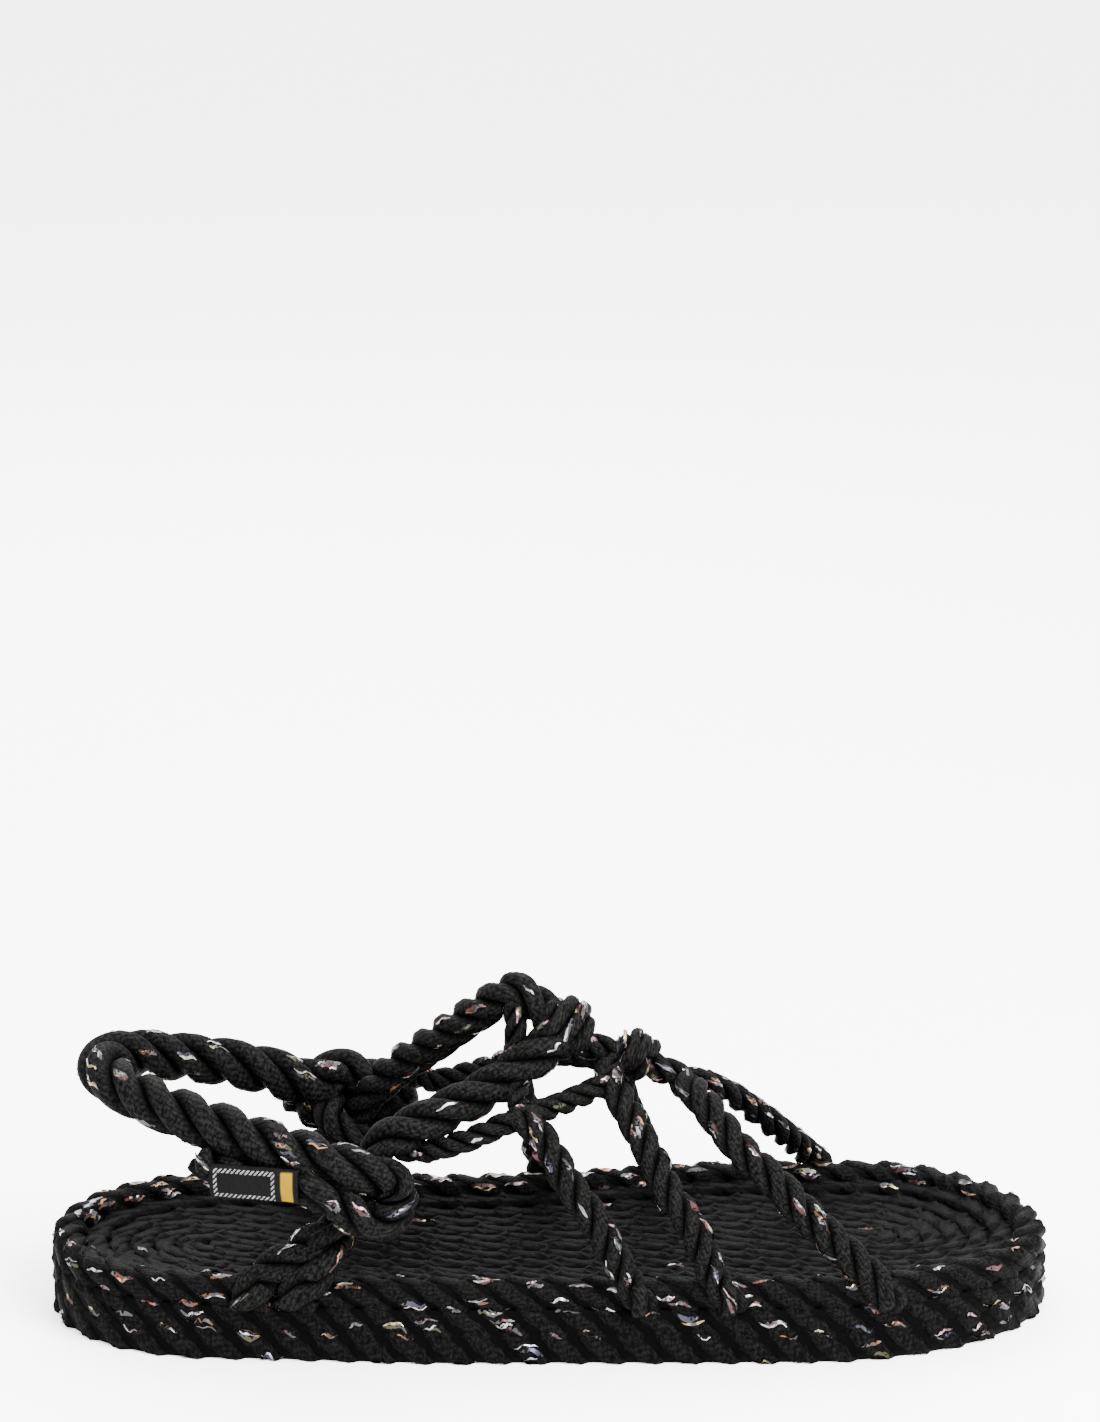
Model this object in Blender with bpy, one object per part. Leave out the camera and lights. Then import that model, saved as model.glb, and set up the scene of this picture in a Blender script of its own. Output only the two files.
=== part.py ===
"""A rope sandal for the right foot.

Metres. +X runs to the toe, +Y to the inner side of the foot and +Z up. The origin is on the floor under
the middle of the shoe's length. Every rope is right-hand laid from three strands, and its solid shows
them as raised, slanted ribs.
"""

import math

import bmesh
import bpy
import numpy as np

# Sole outline
SHOE_LENGTH = 0.276
HEEL_WIDTH = 0.085
WAIST_WIDTH = 0.0862
BALL_WIDTH = 0.0962
HEEL_OFFSET = 0.006
WAIST_OFFSET = 0.0016
BALL_OFFSET = 0.0056
TOE_SWING = -0.0024
HEEL_ROUND = 0.051
TOE_ROUND_OUTER = 0.070
TOE_ROUND_INNER = 0.046
HEEL_SQUARENESS = 2.1
TOE_SQUARENESS = 1.9
TOE_SWING_START_SHARE = 0.7

# Sole rope and how its rows are stacked
SOLE_ROPE = 0.0088
ROW_PITCH = 0.0072
FLOOR_PRESS = 0.0001
SOLE_RIB_PITCH = 0.0083
SOLE_RIB_DEPTH = 0.0013
CLEARANCE = 0.0003

# Footbed
FOOTBED_ROPE = 0.0066
FOOTBED_SINK = 0.0055
FOOTBED_GROOVE = 0.0014
FOOTBED_STATIONS = 48
FOOTBED_LAST_GAP = 0.001
FOOTBED_EDGE_LIFT = 0.0024
FOOTBED_DISH = 0.014

# Straps
FRONT_STRAP_WIDTH = 0.0090
FRONT_STRAP_THICKNESS = 0.0056
SIDE_STRAND = 0.0068
SPINE_ROPE = 0.0080
OUTER_ANKLE_ROPE = 0.0120
INNER_ANKLE_ROPE = 0.0110
ANCHOR_ROPE = 0.0115
LINK_ROPE = 0.0062
EYE_NECK = 0.0090
HEEL_ROPE = 0.0138
EYE_ROPE = 0.0102
EYE_BEND = 0.0062
BEND_SIDES = 8
KEEPER_ROPE = 0.0090
INSTEP_RISE = 0.0729
SEAT_THICKNESS = 0.0046
SEAT_CLEARANCE = 0.00055
FRONT_SEAT_LEAN_SHARE = 0.016
ANCHOR_SEAT_LEAN_SHARE = -0.016
STRAND_GROOVE_SHARE = 0.22
LAY_PER_DIAMETER = 3.4
RINGS_PER_LAY = 7
STRANDS = 3
WRAP_GROOVE = 0.0012

# Label
LABEL_LENGTH = 0.0250
LABEL_HEIGHT = 0.0094
LABEL_THICKNESS = 0.0010
LABEL_BOW_RADIUS = 0.016
LABEL_STRIPS = 6

FOOT_AXIS_HEIGHT = 0.025
UP = np.array([0.0, 0.0, 1.0])

SOLE_RADIUS = SOLE_ROPE / 2
OUTSOLE_MIDDLE = SOLE_RADIUS - FLOOR_PRESS
MIDDLE_MIDDLE = OUTSOLE_MIDDLE + ROW_PITCH
RIM_MIDDLE = MIDDLE_MIDDLE + ROW_PITCH
RIM_TOP = RIM_MIDDLE + SOLE_RADIUS
FOOTBED_TOP = RIM_TOP - FOOTBED_SINK

# The sole's width and the middle of it, from heel to toe. Columns: share of the length, width, offset of
# the middle to the inner side.
OUTLINE = (
    (0.00, HEEL_WIDTH, HEEL_OFFSET),
    (0.15, HEEL_WIDTH, HEEL_OFFSET),
    (0.42, WAIST_WIDTH, WAIST_OFFSET),
    (0.72, BALL_WIDTH, BALL_OFFSET),
    (1.00, BALL_WIDTH, BALL_OFFSET),
)

# Routes of the ropes. Columns: along, as a share of the shoe's length from its middle; out to the inner
# side, as a share of the sole's half width there; up, as a share of the instep's rise over the rim.
OUTER_ANKLE = (
    (0.018, -0.113, 0.830),
    (-0.006, -0.237, 0.770),
    (-0.046, -0.351, 0.672),
    (-0.087, -0.495, 0.610),
    (-0.127, -0.626, 0.560),
    (-0.166, -0.717, 0.490),
    (-0.191, -0.823, 0.340),
    (-0.212, -0.924, 0.195),
    (-0.228, -0.996, 0.085),
)
INNER_ANKLE = (
    (0.010, -0.088, 0.800),
    (-0.012, -0.060, 0.900),
    (-0.034, 0.002, 0.945),
    (-0.056, 0.073, 0.890),
    (-0.087, 0.186, 0.785),
    (-0.117, 0.326, 0.670),
    (-0.150, 0.471, 0.550),
    (-0.175, 0.589, 0.430),
    (-0.194, 0.681, 0.300),
    (-0.213, 0.800, 0.165),
    (-0.230, 0.915, 0.070),
)
# The row of each table where the heel rope's eye runs.
OUTER_EYE_ROW = 6
INNER_EYE_ROW = 8
SPINE = (
    (0.004, -0.086, 0.800),
    (0.030, -0.085, 0.755),
    (0.060, -0.086, 0.715),
    (0.086, -0.085, 0.685),
    (0.112, -0.095, 0.640),
    (0.140, -0.094, 0.590),
)
OUTER_SIDE_STRAND = (
    (-0.160, -0.686, 0.505),
    (-0.138, -0.631, 0.450),
    (-0.090, -0.663, 0.490),
    (-0.033, -0.663, 0.585),
    (0.010, -0.480, 0.600),
    (0.056, -0.275, 0.640),
    (0.066, -0.120, 0.700),
)
INNER_SIDE_STRAND = (
    (-0.152, 0.493, 0.530),
    (-0.117, 0.661, 0.450),
    (-0.066, 0.631, 0.505),
    (-0.036, 0.545, 0.555),
    (0.010, 0.369, 0.610),
    (0.056, 0.129, 0.640),
    (0.066, -0.035, 0.700),
)
# Links run from the apex down inside the ankle ropes to the first strap of each side.
OUTER_LINK = ((-0.036, -0.042, 0.930), (-0.035, -0.109, 0.840), (-0.034, -0.198, 0.700), (-0.033, -0.597, 0.600))
INNER_LINK = ((-0.034, 0.024, 0.930), (-0.033, 0.090, 0.820), (-0.034, 0.268, 0.690), (-0.036, 0.512, 0.570))
# Front straps, from the knots down to the rim. Each has its side, its width as a share of the widths' own
# value, the place of its seat on the rim and its rows.
FRONT_STRAPS = (
    (-1, 1.00, 0.088, (
        (-0.036, -0.630, 0.590),
        (-0.018, -0.741, 0.565),
        (0.001, -0.840, 0.468),
        (0.018, -0.915, 0.365),
        (0.042, -0.978, 0.242),
    )),
    (-1, 0.98, 0.176, (
        (0.056, -0.158, 0.690),
        (0.060, -0.287, 0.640),
        (0.078, -0.502, 0.545),
        (0.098, -0.692, 0.430),
        (0.113, -0.827, 0.328),
        (0.136, -0.929, 0.214),
    )),
    (-1, 1.07, 0.325, (
        (0.132, -0.122, 0.600),
        (0.148, -0.329, 0.575),
        (0.168, -0.484, 0.502),
        (0.190, -0.616, 0.422),
        (0.218, -0.726, 0.342),
        (0.250, -0.825, 0.228),
    )),
    (1, 0.93, 0.010, (
        (-0.036, 0.479, 0.570),
        (-0.032, 0.643, 0.490),
        (-0.027, 0.796, 0.355),
        (-0.013, 0.920, 0.180),
    )),
    (1, 0.91, 0.126, (
        (0.060, -0.011, 0.690),
        (0.070, 0.216, 0.560),
        (0.079, 0.484, 0.385),
        (0.096, 0.754, 0.190),
    )),
    (1, 0.82, 0.290, (
        (0.132, -0.101, 0.600),
        (0.150, 0.015, 0.570),
        (0.180, 0.199, 0.475),
        (0.209, 0.404, 0.350),
        (0.238, 0.594, 0.220),
    )),
)
# Where the ankle ropes' two anchor ropes sit on the rim, the front one and the rear one of each side.
OUTER_ANCHOR_SEATS = (-0.252, -0.298)
INNER_ANCHOR_SEATS = (-0.250, -0.292)
# A strap's last points over the rim. Columns: degrees over the horizontal, round the rim rope, and how much
# of the strap's lean along the shoe is left. Front straps come down from the heel's side of their seats,
# and anchors from the toe's side.
RIM_SEAT = ((54, 1.0), (16, 0.4), (-20, 0.0))
# A strap is pressed thin from this many rope diameters before its end, over this share of the way.
PRESS_PER_ROPE = 2.2
PRESS_EASE_SHARE = 0.625
# How far behind the first anchor rope the second one starts, as a share of the neck, how thick it is, as
# a share of its width, and the length of the ankle rope's thin neck, as a share of the eye's rope.
ANCHOR_START_SHARE = 0.45
ANCHOR_THICKNESS_SHARE = 0.8
NECK_PER_EYE_ROPE = 1.3
# Knots, as turns of rope wound round the spine. Columns: along, out and up of the middle, then half the
# length and the radius over the turns, as shares of the spine rope.
KNOTS = (
    (0.014, -0.101, 0.820, 1.025, 1.125),
    (0.085, -0.085, 0.700, 0.825, 0.875),
)
KNOT_RIDGES = 3
KNOT_SIDES = 9
KNOT_BULGE_SHARE = 0.45
# The bend of an eye lies this share of its radius in front of the ankle rope. Where each leg of the eye
# meets its bend and runs behind it has columns: forward and up along the ankle rope, as shares of the
# bend's radius.
EYE_BEND_FORWARD_SHARE = 0.65
BEND_ROPE_SHARE = 0.99
EYE_UPPER_LEG = ((-1.40, 0.53), (0.55, 0.97))
EYE_LOWER_LEG = ((0.55, -0.97), (-0.70, -0.90), (-1.80, -0.86))
# The keeper's way round the inner side of the ankle rope, in degrees from outward, and where it ends: out,
# as a share of its own distance, and forward, as a share of the bend's radius.
EYE_KEEPER = (45, 80, 115, 150, 185, 220, 255, 290)
KEEPER_END = (0.95, -1.70)
# The heel rope's main run, from the outer eye round the heel to the inner eye.
HEEL_RUN = (
    (-0.248, -0.953, 0.500),
    (-0.297, -0.848, 0.532),
    (-0.348, -0.718, 0.576),
    (-0.391, -0.554, 0.608),
    (-0.432, -0.311, 0.640),
    (-0.446, -0.073, 0.658),
    (-0.429, 0.159, 0.650),
    (-0.384, 0.345, 0.604),
    (-0.333, 0.448, 0.560),
    (-0.283, 0.547, 0.500),
    (-0.240, 0.663, 0.430),
)
# The eyes' tails, back under the main run to their tucked ends.
OUTER_TAIL = (
    (-0.249, -0.964, 0.400),
    (-0.283, -0.932, 0.398),
    (-0.325, -0.880, 0.405),
    (-0.345, -0.820, 0.470),
)
INNER_TAIL = ((-0.236, 0.777, 0.300), (-0.258, 0.654, 0.385))
HEEL_TAPER_PER_ROPE = 2.0
# The label's two ends, as rows of a route. Their height and slant count, and the rope under it sets how
# far out it lies.
LABEL_ENDS = ((-0.328, -0.860, 0.400), (-0.238, -1.000, 0.410))


def eased(share, column):
    """The outline table's column at a share of the length, with soft changes from row to row."""
    stations = [row[0] for row in OUTLINE]
    values = [row[column] for row in OUTLINE]
    index = np.clip(np.searchsorted(stations, share) - 1, 0, len(stations) - 2)
    start = np.take(stations, index)
    local = (share - start) / (np.take(stations, index + 1) - start)
    local = local * local * (3 - 2 * local)
    return np.take(values, index) * (1 - local) + np.take(values, index + 1) * local


def middle_at(share):
    """How far the sole's middle line lies to the inner side at a share of the length."""
    swing = np.clip((share - TOE_SWING_START_SHARE) / (1 - TOE_SWING_START_SHARE), 0, 1) ** 2
    return eased(share, 2) + TOE_SWING * swing


def end_factor(distance, rounding, squareness):
    """How much of its width the sole has at a distance from its end."""
    missing = np.clip(1 - distance / rounding, 0, 1)
    return (1 - missing**squareness) ** (1 / squareness)


def outline(inset, count):
    """Evenly spaced points and outward normals, anticlockwise from the heel, inset from the outer edge."""
    turn = np.linspace(0, 2 * math.pi, 2401)[:-1]
    reach = SHOE_LENGTH / 2 - inset
    x = -reach * np.cos(turn)
    side = np.where(turn < math.pi, -1.0, 1.0)
    share = np.clip(x / SHOE_LENGTH + 0.5, 0, 1)
    half = eased(share, 1) / 2 - inset
    toe_round = np.where(side < 0, TOE_ROUND_OUTER, TOE_ROUND_INNER) - inset
    half = half * end_factor(x + reach, HEEL_ROUND - inset, HEEL_SQUARENESS)
    half = half * end_factor(reach - x, toe_round, TOE_SQUARENESS)
    points = np.stack([x, middle_at(share) + side * half], axis=1)
    return even_loop(points, count)


def even_loop(points, count):
    """A closed loop's points, evenly spaced, and its outward normals there."""
    loop = np.vstack([points, points[:1]])
    length = np.append(0, np.cumsum(np.linalg.norm(np.diff(loop, axis=0), axis=1)))
    stations = np.arange(count) * length[-1] / count
    even = np.stack([np.interp(stations, length, loop[:, axis]) for axis in (0, 1)], axis=1)
    along = np.roll(even, -1, axis=0) - np.roll(even, 1, axis=0)
    along /= np.linalg.norm(along, axis=1)[:, None]
    return even, np.stack([along[:, 1], -along[:, 0]], axis=1), length[-1]


FINE = 1200
EDGE_POINTS, EDGE_NORMALS, EDGE_LENGTH = outline(SOLE_RADIUS, FINE)
RIBS = round(EDGE_LENGTH / SOLE_RIB_PITCH)
COLUMNS = 2 * RIBS


def edge_at(column):
    """The sole rope's middle line and its outward normal at a column of the ribs, which may be a fraction."""
    place = (column / COLUMNS * FINE) % FINE
    low = int(place)
    part = place - low
    high = (low + 1) % FINE
    point = EDGE_POINTS[low] * (1 - part) + EDGE_POINTS[high] * part
    normal = EDGE_NORMALS[low] * (1 - part) + EDGE_NORMALS[high] * part
    return point, normal


def new_object(name, vertices, faces, material=None):
    """A mesh object with smooth shading and sharp edges where its faces turn a lot."""
    mesh = bpy.data.meshes.new(name)
    mesh.from_pydata([tuple(vertex) for vertex in vertices], [], faces)
    shape = bmesh.new()
    shape.from_mesh(mesh)
    bmesh.ops.recalc_face_normals(shape, faces=shape.faces)
    shape.to_mesh(mesh)
    shape.free()
    mesh.shade_smooth()
    mesh.set_sharp_from_angle(angle=math.radians(50))
    obj = bpy.data.objects.new(name, mesh)
    bpy.context.scene.collection.objects.link(obj)
    if material:
        mesh.materials.append(material)
    return obj


def rope_material(name, colour, roughness):
    """Matt fibre."""
    material = bpy.data.materials.new(name)
    material.use_nodes = True
    shader = material.node_tree.nodes["Principled BSDF"]
    shader.inputs["Base Color"].default_value = (*colour, 1)
    shader.inputs["Roughness"].default_value = roughness
    shader.inputs["Metallic"].default_value = 0
    return material


def rib_row(middle, angle, keep_height):
    """One row of vertices round the sole, on the rope's surface at an angle over the horizontal.

    Even columns lie in the grooves between strands and odd ones on the strands. The row is shifted along
    the rope by its share of the lay, which slants the ribs.
    """
    shift = STRANDS * 2 * angle / (2 * math.pi)
    row = []
    for column in range(COLUMNS):
        point, normal = edge_at(column - shift)
        radius = SOLE_RADIUS - (SOLE_RIB_DEPTH if column % 2 == 0 else 0)
        out = point + normal * radius * math.cos(angle)
        rise = (SOLE_RADIUS if keep_height else radius) * math.sin(angle)
        row.append((out[0], out[1], middle + rise))
    return row


def bands(rows):
    """Quads between neighbouring rows of COLUMNS vertices each."""
    faces = []
    for row in range(rows - 1):
        for column in range(COLUMNS):
            beside = (column + 1) % COLUMNS
            low = row * COLUMNS
            high = low + COLUMNS
            faces.append((low + column, low + beside, high + beside, high + column))
    return faces


def coil_layer(name, middle, bottom, top, material):
    """A flat layer of coiled rope: a ribbed side that bulges like the outermost turn, and level faces."""
    low = math.asin((bottom - middle) / SOLE_RADIUS)
    high = math.asin((top - middle) / SOLE_RADIUS)
    angles = [low, (low + high) / 2, high]
    vertices = []
    for angle in angles:
        vertices += rib_row(middle, angle, keep_height=True)
    faces = bands(len(angles))
    faces.append(list(range(COLUMNS))[::-1])
    faces.append([len(vertices) - COLUMNS + column for column in range(COLUMNS)])
    return new_object(name, vertices, faces, material)


def rim_rope(material):
    """The raised rope ring round the edge, pressed level where it lies on the layer below."""
    base = MIDDLE_MIDDLE + ROW_PITCH / 2 + CLEARANCE / 2
    low = math.asin((base - RIM_MIDDLE) / SOLE_RADIUS)
    rows = 6
    angles = [low + (math.pi - 2 * low) * step / (rows - 1) for step in range(rows)]
    vertices = []
    for angle in angles:
        vertices += rib_row(RIM_MIDDLE, angle, keep_height=angle in (angles[0], angles[-1]))
    faces = bands(rows)
    last = (rows - 1) * COLUMNS
    slip = 2 * round(STRANDS * (math.pi - 2 * low) / (2 * math.pi))
    for column in range(COLUMNS):
        beside = (column + 1) % COLUMNS
        over = (column + slip) % COLUMNS
        over_beside = (column + 1 + slip) % COLUMNS
        faces.append((column, last + over, last + over_beside, beside))
    return new_object("rim_rope", vertices, faces, material)


def footbed(material):
    """The insole: thinner rope coiled in rows inside the rim, as rounded ridges on a level base.

    It is dished: the rows next to the rim lie higher than those under the middle of the foot.
    """
    base = MIDDLE_MIDDLE + ROW_PITCH / 2 + CLEARANCE / 2
    edge = SOLE_ROPE + CLEARANCE
    half_step = FOOTBED_ROPE / 2
    loops = []
    rim_line, normals, _ = outline(SOLE_RADIUS, FOOTBED_STATIONS)
    border = rim_line - normals * (SOLE_RADIUS + CLEARANCE)
    loops.append((border, base))
    loops.append((border, FOOTBED_TOP + FOOTBED_EDGE_LIFT - FOOTBED_GROOVE))
    inset = edge + half_step
    ridge = True
    last = min(HEEL_WIDTH, WAIST_WIDTH, BALL_WIDTH, HEEL_ROUND * 2, TOE_ROUND_INNER * 2) / 2 - FOOTBED_LAST_GAP
    while inset < last:
        points = outline(inset, FOOTBED_STATIONS)[0]
        lift = FOOTBED_EDGE_LIFT * max(0.0, 1 - (inset - edge) / FOOTBED_DISH) ** 2
        loops.append((points, FOOTBED_TOP + lift - (0 if ridge else FOOTBED_GROOVE)))
        inset += half_step
        ridge = not ridge
    vertices = []
    faces = []
    for points, height in loops:
        vertices += [(point[0], point[1], height) for point in points]
    for row in range(len(loops) - 1):
        for station in range(FOOTBED_STATIONS):
            beside = (station + 1) % FOOTBED_STATIONS
            low = row * FOOTBED_STATIONS
            high = low + FOOTBED_STATIONS
            faces.append((low + station, low + beside, high + beside, high + station))
    faces.append(list(range(FOOTBED_STATIONS))[::-1])
    faces.append([len(vertices) - FOOTBED_STATIONS + station for station in range(FOOTBED_STATIONS)])
    return new_object("footbed", vertices, faces, material)


def place(row):
    """A route's table row as a point."""
    along, out, up = row
    share = along + 0.5
    across = middle_at(share) + out * eased(share, 1) / 2
    return np.array([along * SHOE_LENGTH, across, RIM_TOP + up * INSTEP_RISE])


def smooth_route(points, step):
    """Evenly spaced points on a smooth curve through the route's own points."""
    points = np.array(points)
    padded = np.vstack([2 * points[0] - points[1], points, 2 * points[-1] - points[-2]])
    fine = []
    for index in range(1, len(padded) - 2):
        before, start, end, after = padded[index - 1 : index + 3]
        for part in np.linspace(0, 1, 24, endpoint=False):
            curve = 2 * start + (end - before) * part
            curve = curve + (2 * before - 5 * start + 4 * end - after) * part**2
            curve = curve + (3 * start - before - 3 * end + after) * part**3
            fine.append(curve / 2)
    fine.append(points[-1])
    fine = np.array(fine)
    length = np.append(0, np.cumsum(np.linalg.norm(np.diff(fine, axis=0), axis=1)))
    count = max(3, round(length[-1] / step) + 1)
    stations = np.linspace(0, length[-1], count)
    even = np.stack([np.interp(stations, length, fine[:, axis]) for axis in range(3)], axis=1)
    return even, stations


def from_foot_axis(point):
    """The direction from the middle of the foot to a point on a strap."""
    return np.array([0.0, point[1], point[2] - FOOT_AXIS_HEIGHT])


def straight_up(_point):
    return UP


def rope(name, route, radius_at, outward=from_foot_axis, thickness_at=None):
    """A laid rope along a route: a tube whose section has a lobe for each strand, turning with the lay.

    radius_at gives the half width at a share of the rope's length, and thickness_at the half thickness.
    """
    lay = LAY_PER_DIAMETER * 2 * max(radius_at(0.0), radius_at(0.5), radius_at(1.0))
    points, stations = smooth_route(route, lay / RINGS_PER_LAY)
    tangents = np.gradient(points, axis=0)
    tangents /= np.linalg.norm(tangents, axis=1)[:, None]
    vertices = []
    sides = 2 * STRANDS
    for point, tangent, station in zip(points, tangents, stations):
        share = station / stations[-1]
        width = radius_at(share)
        thickness = thickness_at(share) if thickness_at else width
        normal = outward(point) - tangent * np.dot(outward(point), tangent)
        normal /= np.linalg.norm(normal)
        across = np.cross(tangent, normal)
        for side in range(sides):
            angle = 2 * math.pi * (side / sides + station / lay)
            reach = 1 - STRAND_GROOVE_SHARE * (side % 2)
            out = normal * thickness * math.cos(angle)
            vertices.append(point + reach * (out + across * width * math.sin(angle)))
    return new_object(name, vertices, tube_faces(len(points), sides))


def tube_faces(rings, sides):
    """The faces of a tube with closed ends, in triangles because a laid rope's quads aren't flat."""
    faces = []
    for ring in range(rings - 1):
        for side in range(sides):
            beside = (side + 1) % sides
            low = ring * sides
            high = low + sides
            faces.append((low + side, low + beside, high + side))
            faces.append((low + beside, high + beside, high + side))
    faces.append(list(range(sides))[::-1])
    faces.append([(rings - 1) * sides + side for side in range(sides)])
    return faces


def route_length(route):
    return sum(np.linalg.norm(np.subtract(after, before)) for before, after in zip(route, route[1:]))


def rim_seat(along, side, lean_share):
    """The last points of a strap, laid over the rim's outer side into the groove under it."""
    reach = SOLE_RADIUS + SEAT_CLEARANCE + SEAT_THICKNESS / 2
    on_side = EDGE_POINTS[:, 1] * side > 0
    seat = []
    for degrees, lean in RIM_SEAT:
        x = (along - lean_share * lean) * SHOE_LENGTH
        index = np.argmin(np.where(on_side, abs(EDGE_POINTS[:, 0] - x), 1.0))
        angle = math.radians(degrees)
        out = EDGE_POINTS[index] + EDGE_NORMALS[index] * reach * math.cos(angle)
        seat.append(np.array([out[0], out[1], RIM_MIDDLE + reach * math.sin(angle)]))
    return seat


def plain(radius):
    return lambda _share: radius


def pressed(half_thickness, route):
    """The half thickness of a strap, which is pressed thin at its seat, the end of its route."""
    length = route_length(route)
    seat = PRESS_PER_ROPE * SOLE_ROPE

    def thickness_at(share):
        part = min(1.0, max(0.0, (1 - (1 - share) * length / seat) / PRESS_EASE_SHARE))
        part = part * part * (3 - 2 * part)
        return half_thickness * (1 - part) + SEAT_THICKNESS / 2 * part

    return thickness_at


def front_strap(name, side, width_share, along, rows):
    """A flat strap from the knots down to its seat on the rim."""
    route = [place(row) for row in rows] + rim_seat(along, side, FRONT_SEAT_LEAN_SHARE)
    radius = FRONT_STRAP_WIDTH * width_share / 2
    return rope(name, route, plain(radius), thickness_at=pressed(FRONT_STRAP_THICKNESS / 2, route))


def ankle_rope(name, rows, eye_row, side, diameter):
    """An ankle rope from the knots down through the heel rope's eye to its seat on the rim."""
    seats = OUTER_ANCHOR_SEATS if side < 0 else INNER_ANCHOR_SEATS
    route = [place(row) for row in rows] + rim_seat(seats[0], side, ANCHOR_SEAT_LEAN_SHARE)
    length = route_length(route)
    eye_share = route_length(route[: eye_row + 1]) / length
    neck_length = EYE_ROPE * NECK_PER_EYE_ROPE / length

    def radius_at(share):
        part = math.exp(-(((share - eye_share) / neck_length) ** 4))
        return diameter / 2 * (1 - part) + EYE_NECK / 2 * part

    def thickness_at(share):
        return min(radius_at(share), pressed(diameter / 2, route)(share))

    return rope(name, route, radius_at, thickness_at=thickness_at)


def anchor_rope(name, rows, eye_row, side):
    """The second rope of an ankle anchor, from under the eye down to the rim behind the first."""
    start = place(rows[eye_row + 1])
    below = place(rows[eye_row + 2])
    route = [start, (start + below) / 2 - np.array([EYE_NECK * ANCHOR_START_SHARE, 0, 0])]
    seats = OUTER_ANCHOR_SEATS if side < 0 else INNER_ANCHOR_SEATS
    route += rim_seat(seats[1], side, ANCHOR_SEAT_LEAN_SHARE)
    half_thickness = ANCHOR_ROPE * ANCHOR_THICKNESS_SHARE / 2
    return rope(name, route, plain(ANCHOR_ROPE / 2), thickness_at=pressed(half_thickness, route))


def knot(name, row):
    """Turns of rope wound tight round the spine, as a ridged barrel."""
    middle = place(row[:3])
    half_length = row[3] * SPINE_ROPE
    radius = row[4] * SPINE_ROPE
    axis = place(SPINE[-1]) - place(SPINE[0])
    axis /= np.linalg.norm(axis)
    across = np.cross(axis, UP)
    across /= np.linalg.norm(across)
    over = np.cross(across, axis)
    rings = 2 * KNOT_RIDGES + 1
    vertices = []
    for ring in range(rings):
        part = 2 * ring / (rings - 1) - 1
        reach = radius * math.sqrt(1 - KNOT_BULGE_SHARE * part * part) - (WRAP_GROOVE if ring % 2 == 0 else 0)
        for side in range(KNOT_SIDES):
            angle = 2 * math.pi * side / KNOT_SIDES
            out_way = over * math.cos(angle) + across * math.sin(angle)
            vertices.append(middle + axis * part * half_length + out_way * reach)
    return new_object(name, vertices, tube_faces(rings, KNOT_SIDES))


def joined(name, pieces, material):
    """The outer surface of the pieces as one solid: a Boolean union of the first with all the others."""
    others = bpy.data.collections.new(name + "_ropes")
    bpy.context.scene.collection.children.link(others)
    for piece in pieces[1:]:
        bpy.context.scene.collection.objects.unlink(piece)
        others.objects.link(piece)
    main = pieces[0]
    union = main.modifiers.new("join", "BOOLEAN")
    union.operation = "UNION"
    union.operand_type = "COLLECTION"
    union.collection = others
    union.solver = "MANIFOLD"
    bpy.context.view_layer.update()
    whole = outer_shell(main)
    vertices = [vertex.co.copy() for vertex in whole.verts]
    faces = [[vertex.index for vertex in face.verts] for face in whole.faces]
    whole.free()
    for piece in pieces:
        bpy.data.objects.remove(piece)
    bpy.data.collections.remove(others)
    return new_object(name, vertices, faces, material)


def outer_shell(obj):
    """The outer shell of an object as its modifiers leave it, without pockets closed in between ribs."""
    evaluated = obj.evaluated_get(bpy.context.evaluated_depsgraph_get())
    shape = bmesh.new()
    shape.from_mesh(evaluated.to_mesh())
    evaluated.to_mesh_clear()
    left = set(shape.faces)
    shells = []
    while left:
        shell = {left.pop()}
        edge = list(shell)
        while edge:
            face = edge.pop()
            beside = {other for side in face.edges if side.is_manifold for other in side.link_faces} & left
            left -= beside
            shell |= beside
            edge += beside
        shells.append(shell)
    outer = max(shells, key=len)
    bmesh.ops.delete(shape, geom=[face for face in shape.faces if face not in outer], context="FACES")
    shape.verts.index_update()
    return shape


def upper(material):
    """All the fixed straps as one solid, joined where they cross and at the knots."""
    pieces = [rope("spine", [place(row) for row in SPINE], plain(SPINE_ROPE / 2))]
    pieces.append(ankle_rope("ankle_outer", OUTER_ANKLE, OUTER_EYE_ROW, -1, OUTER_ANKLE_ROPE))
    pieces.append(ankle_rope("ankle_inner", INNER_ANKLE, INNER_EYE_ROW, 1, INNER_ANKLE_ROPE))
    pieces.append(anchor_rope("anchor_outer", OUTER_ANKLE, OUTER_EYE_ROW, -1))
    pieces.append(anchor_rope("anchor_inner", INNER_ANKLE, INNER_EYE_ROW, 1))
    for number, (side, width_share, along, rows) in enumerate(FRONT_STRAPS):
        pieces.append(front_strap(f"front_strap_{number}", side, width_share, along, rows))
    for number, rows in enumerate((OUTER_SIDE_STRAND, INNER_SIDE_STRAND)):
        pieces.append(rope(f"side_strand_{number}", [place(row) for row in rows], plain(SIDE_STRAND / 2)))
    for number, rows in enumerate((OUTER_LINK, INNER_LINK)):
        pieces.append(rope(f"link_{number}", [place(row) for row in rows], plain(LINK_ROPE / 2)))
    for number, row in enumerate(KNOTS):
        pieces.append(knot(f"knot_{number}", row))
    return joined("upper", pieces, material)


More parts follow.
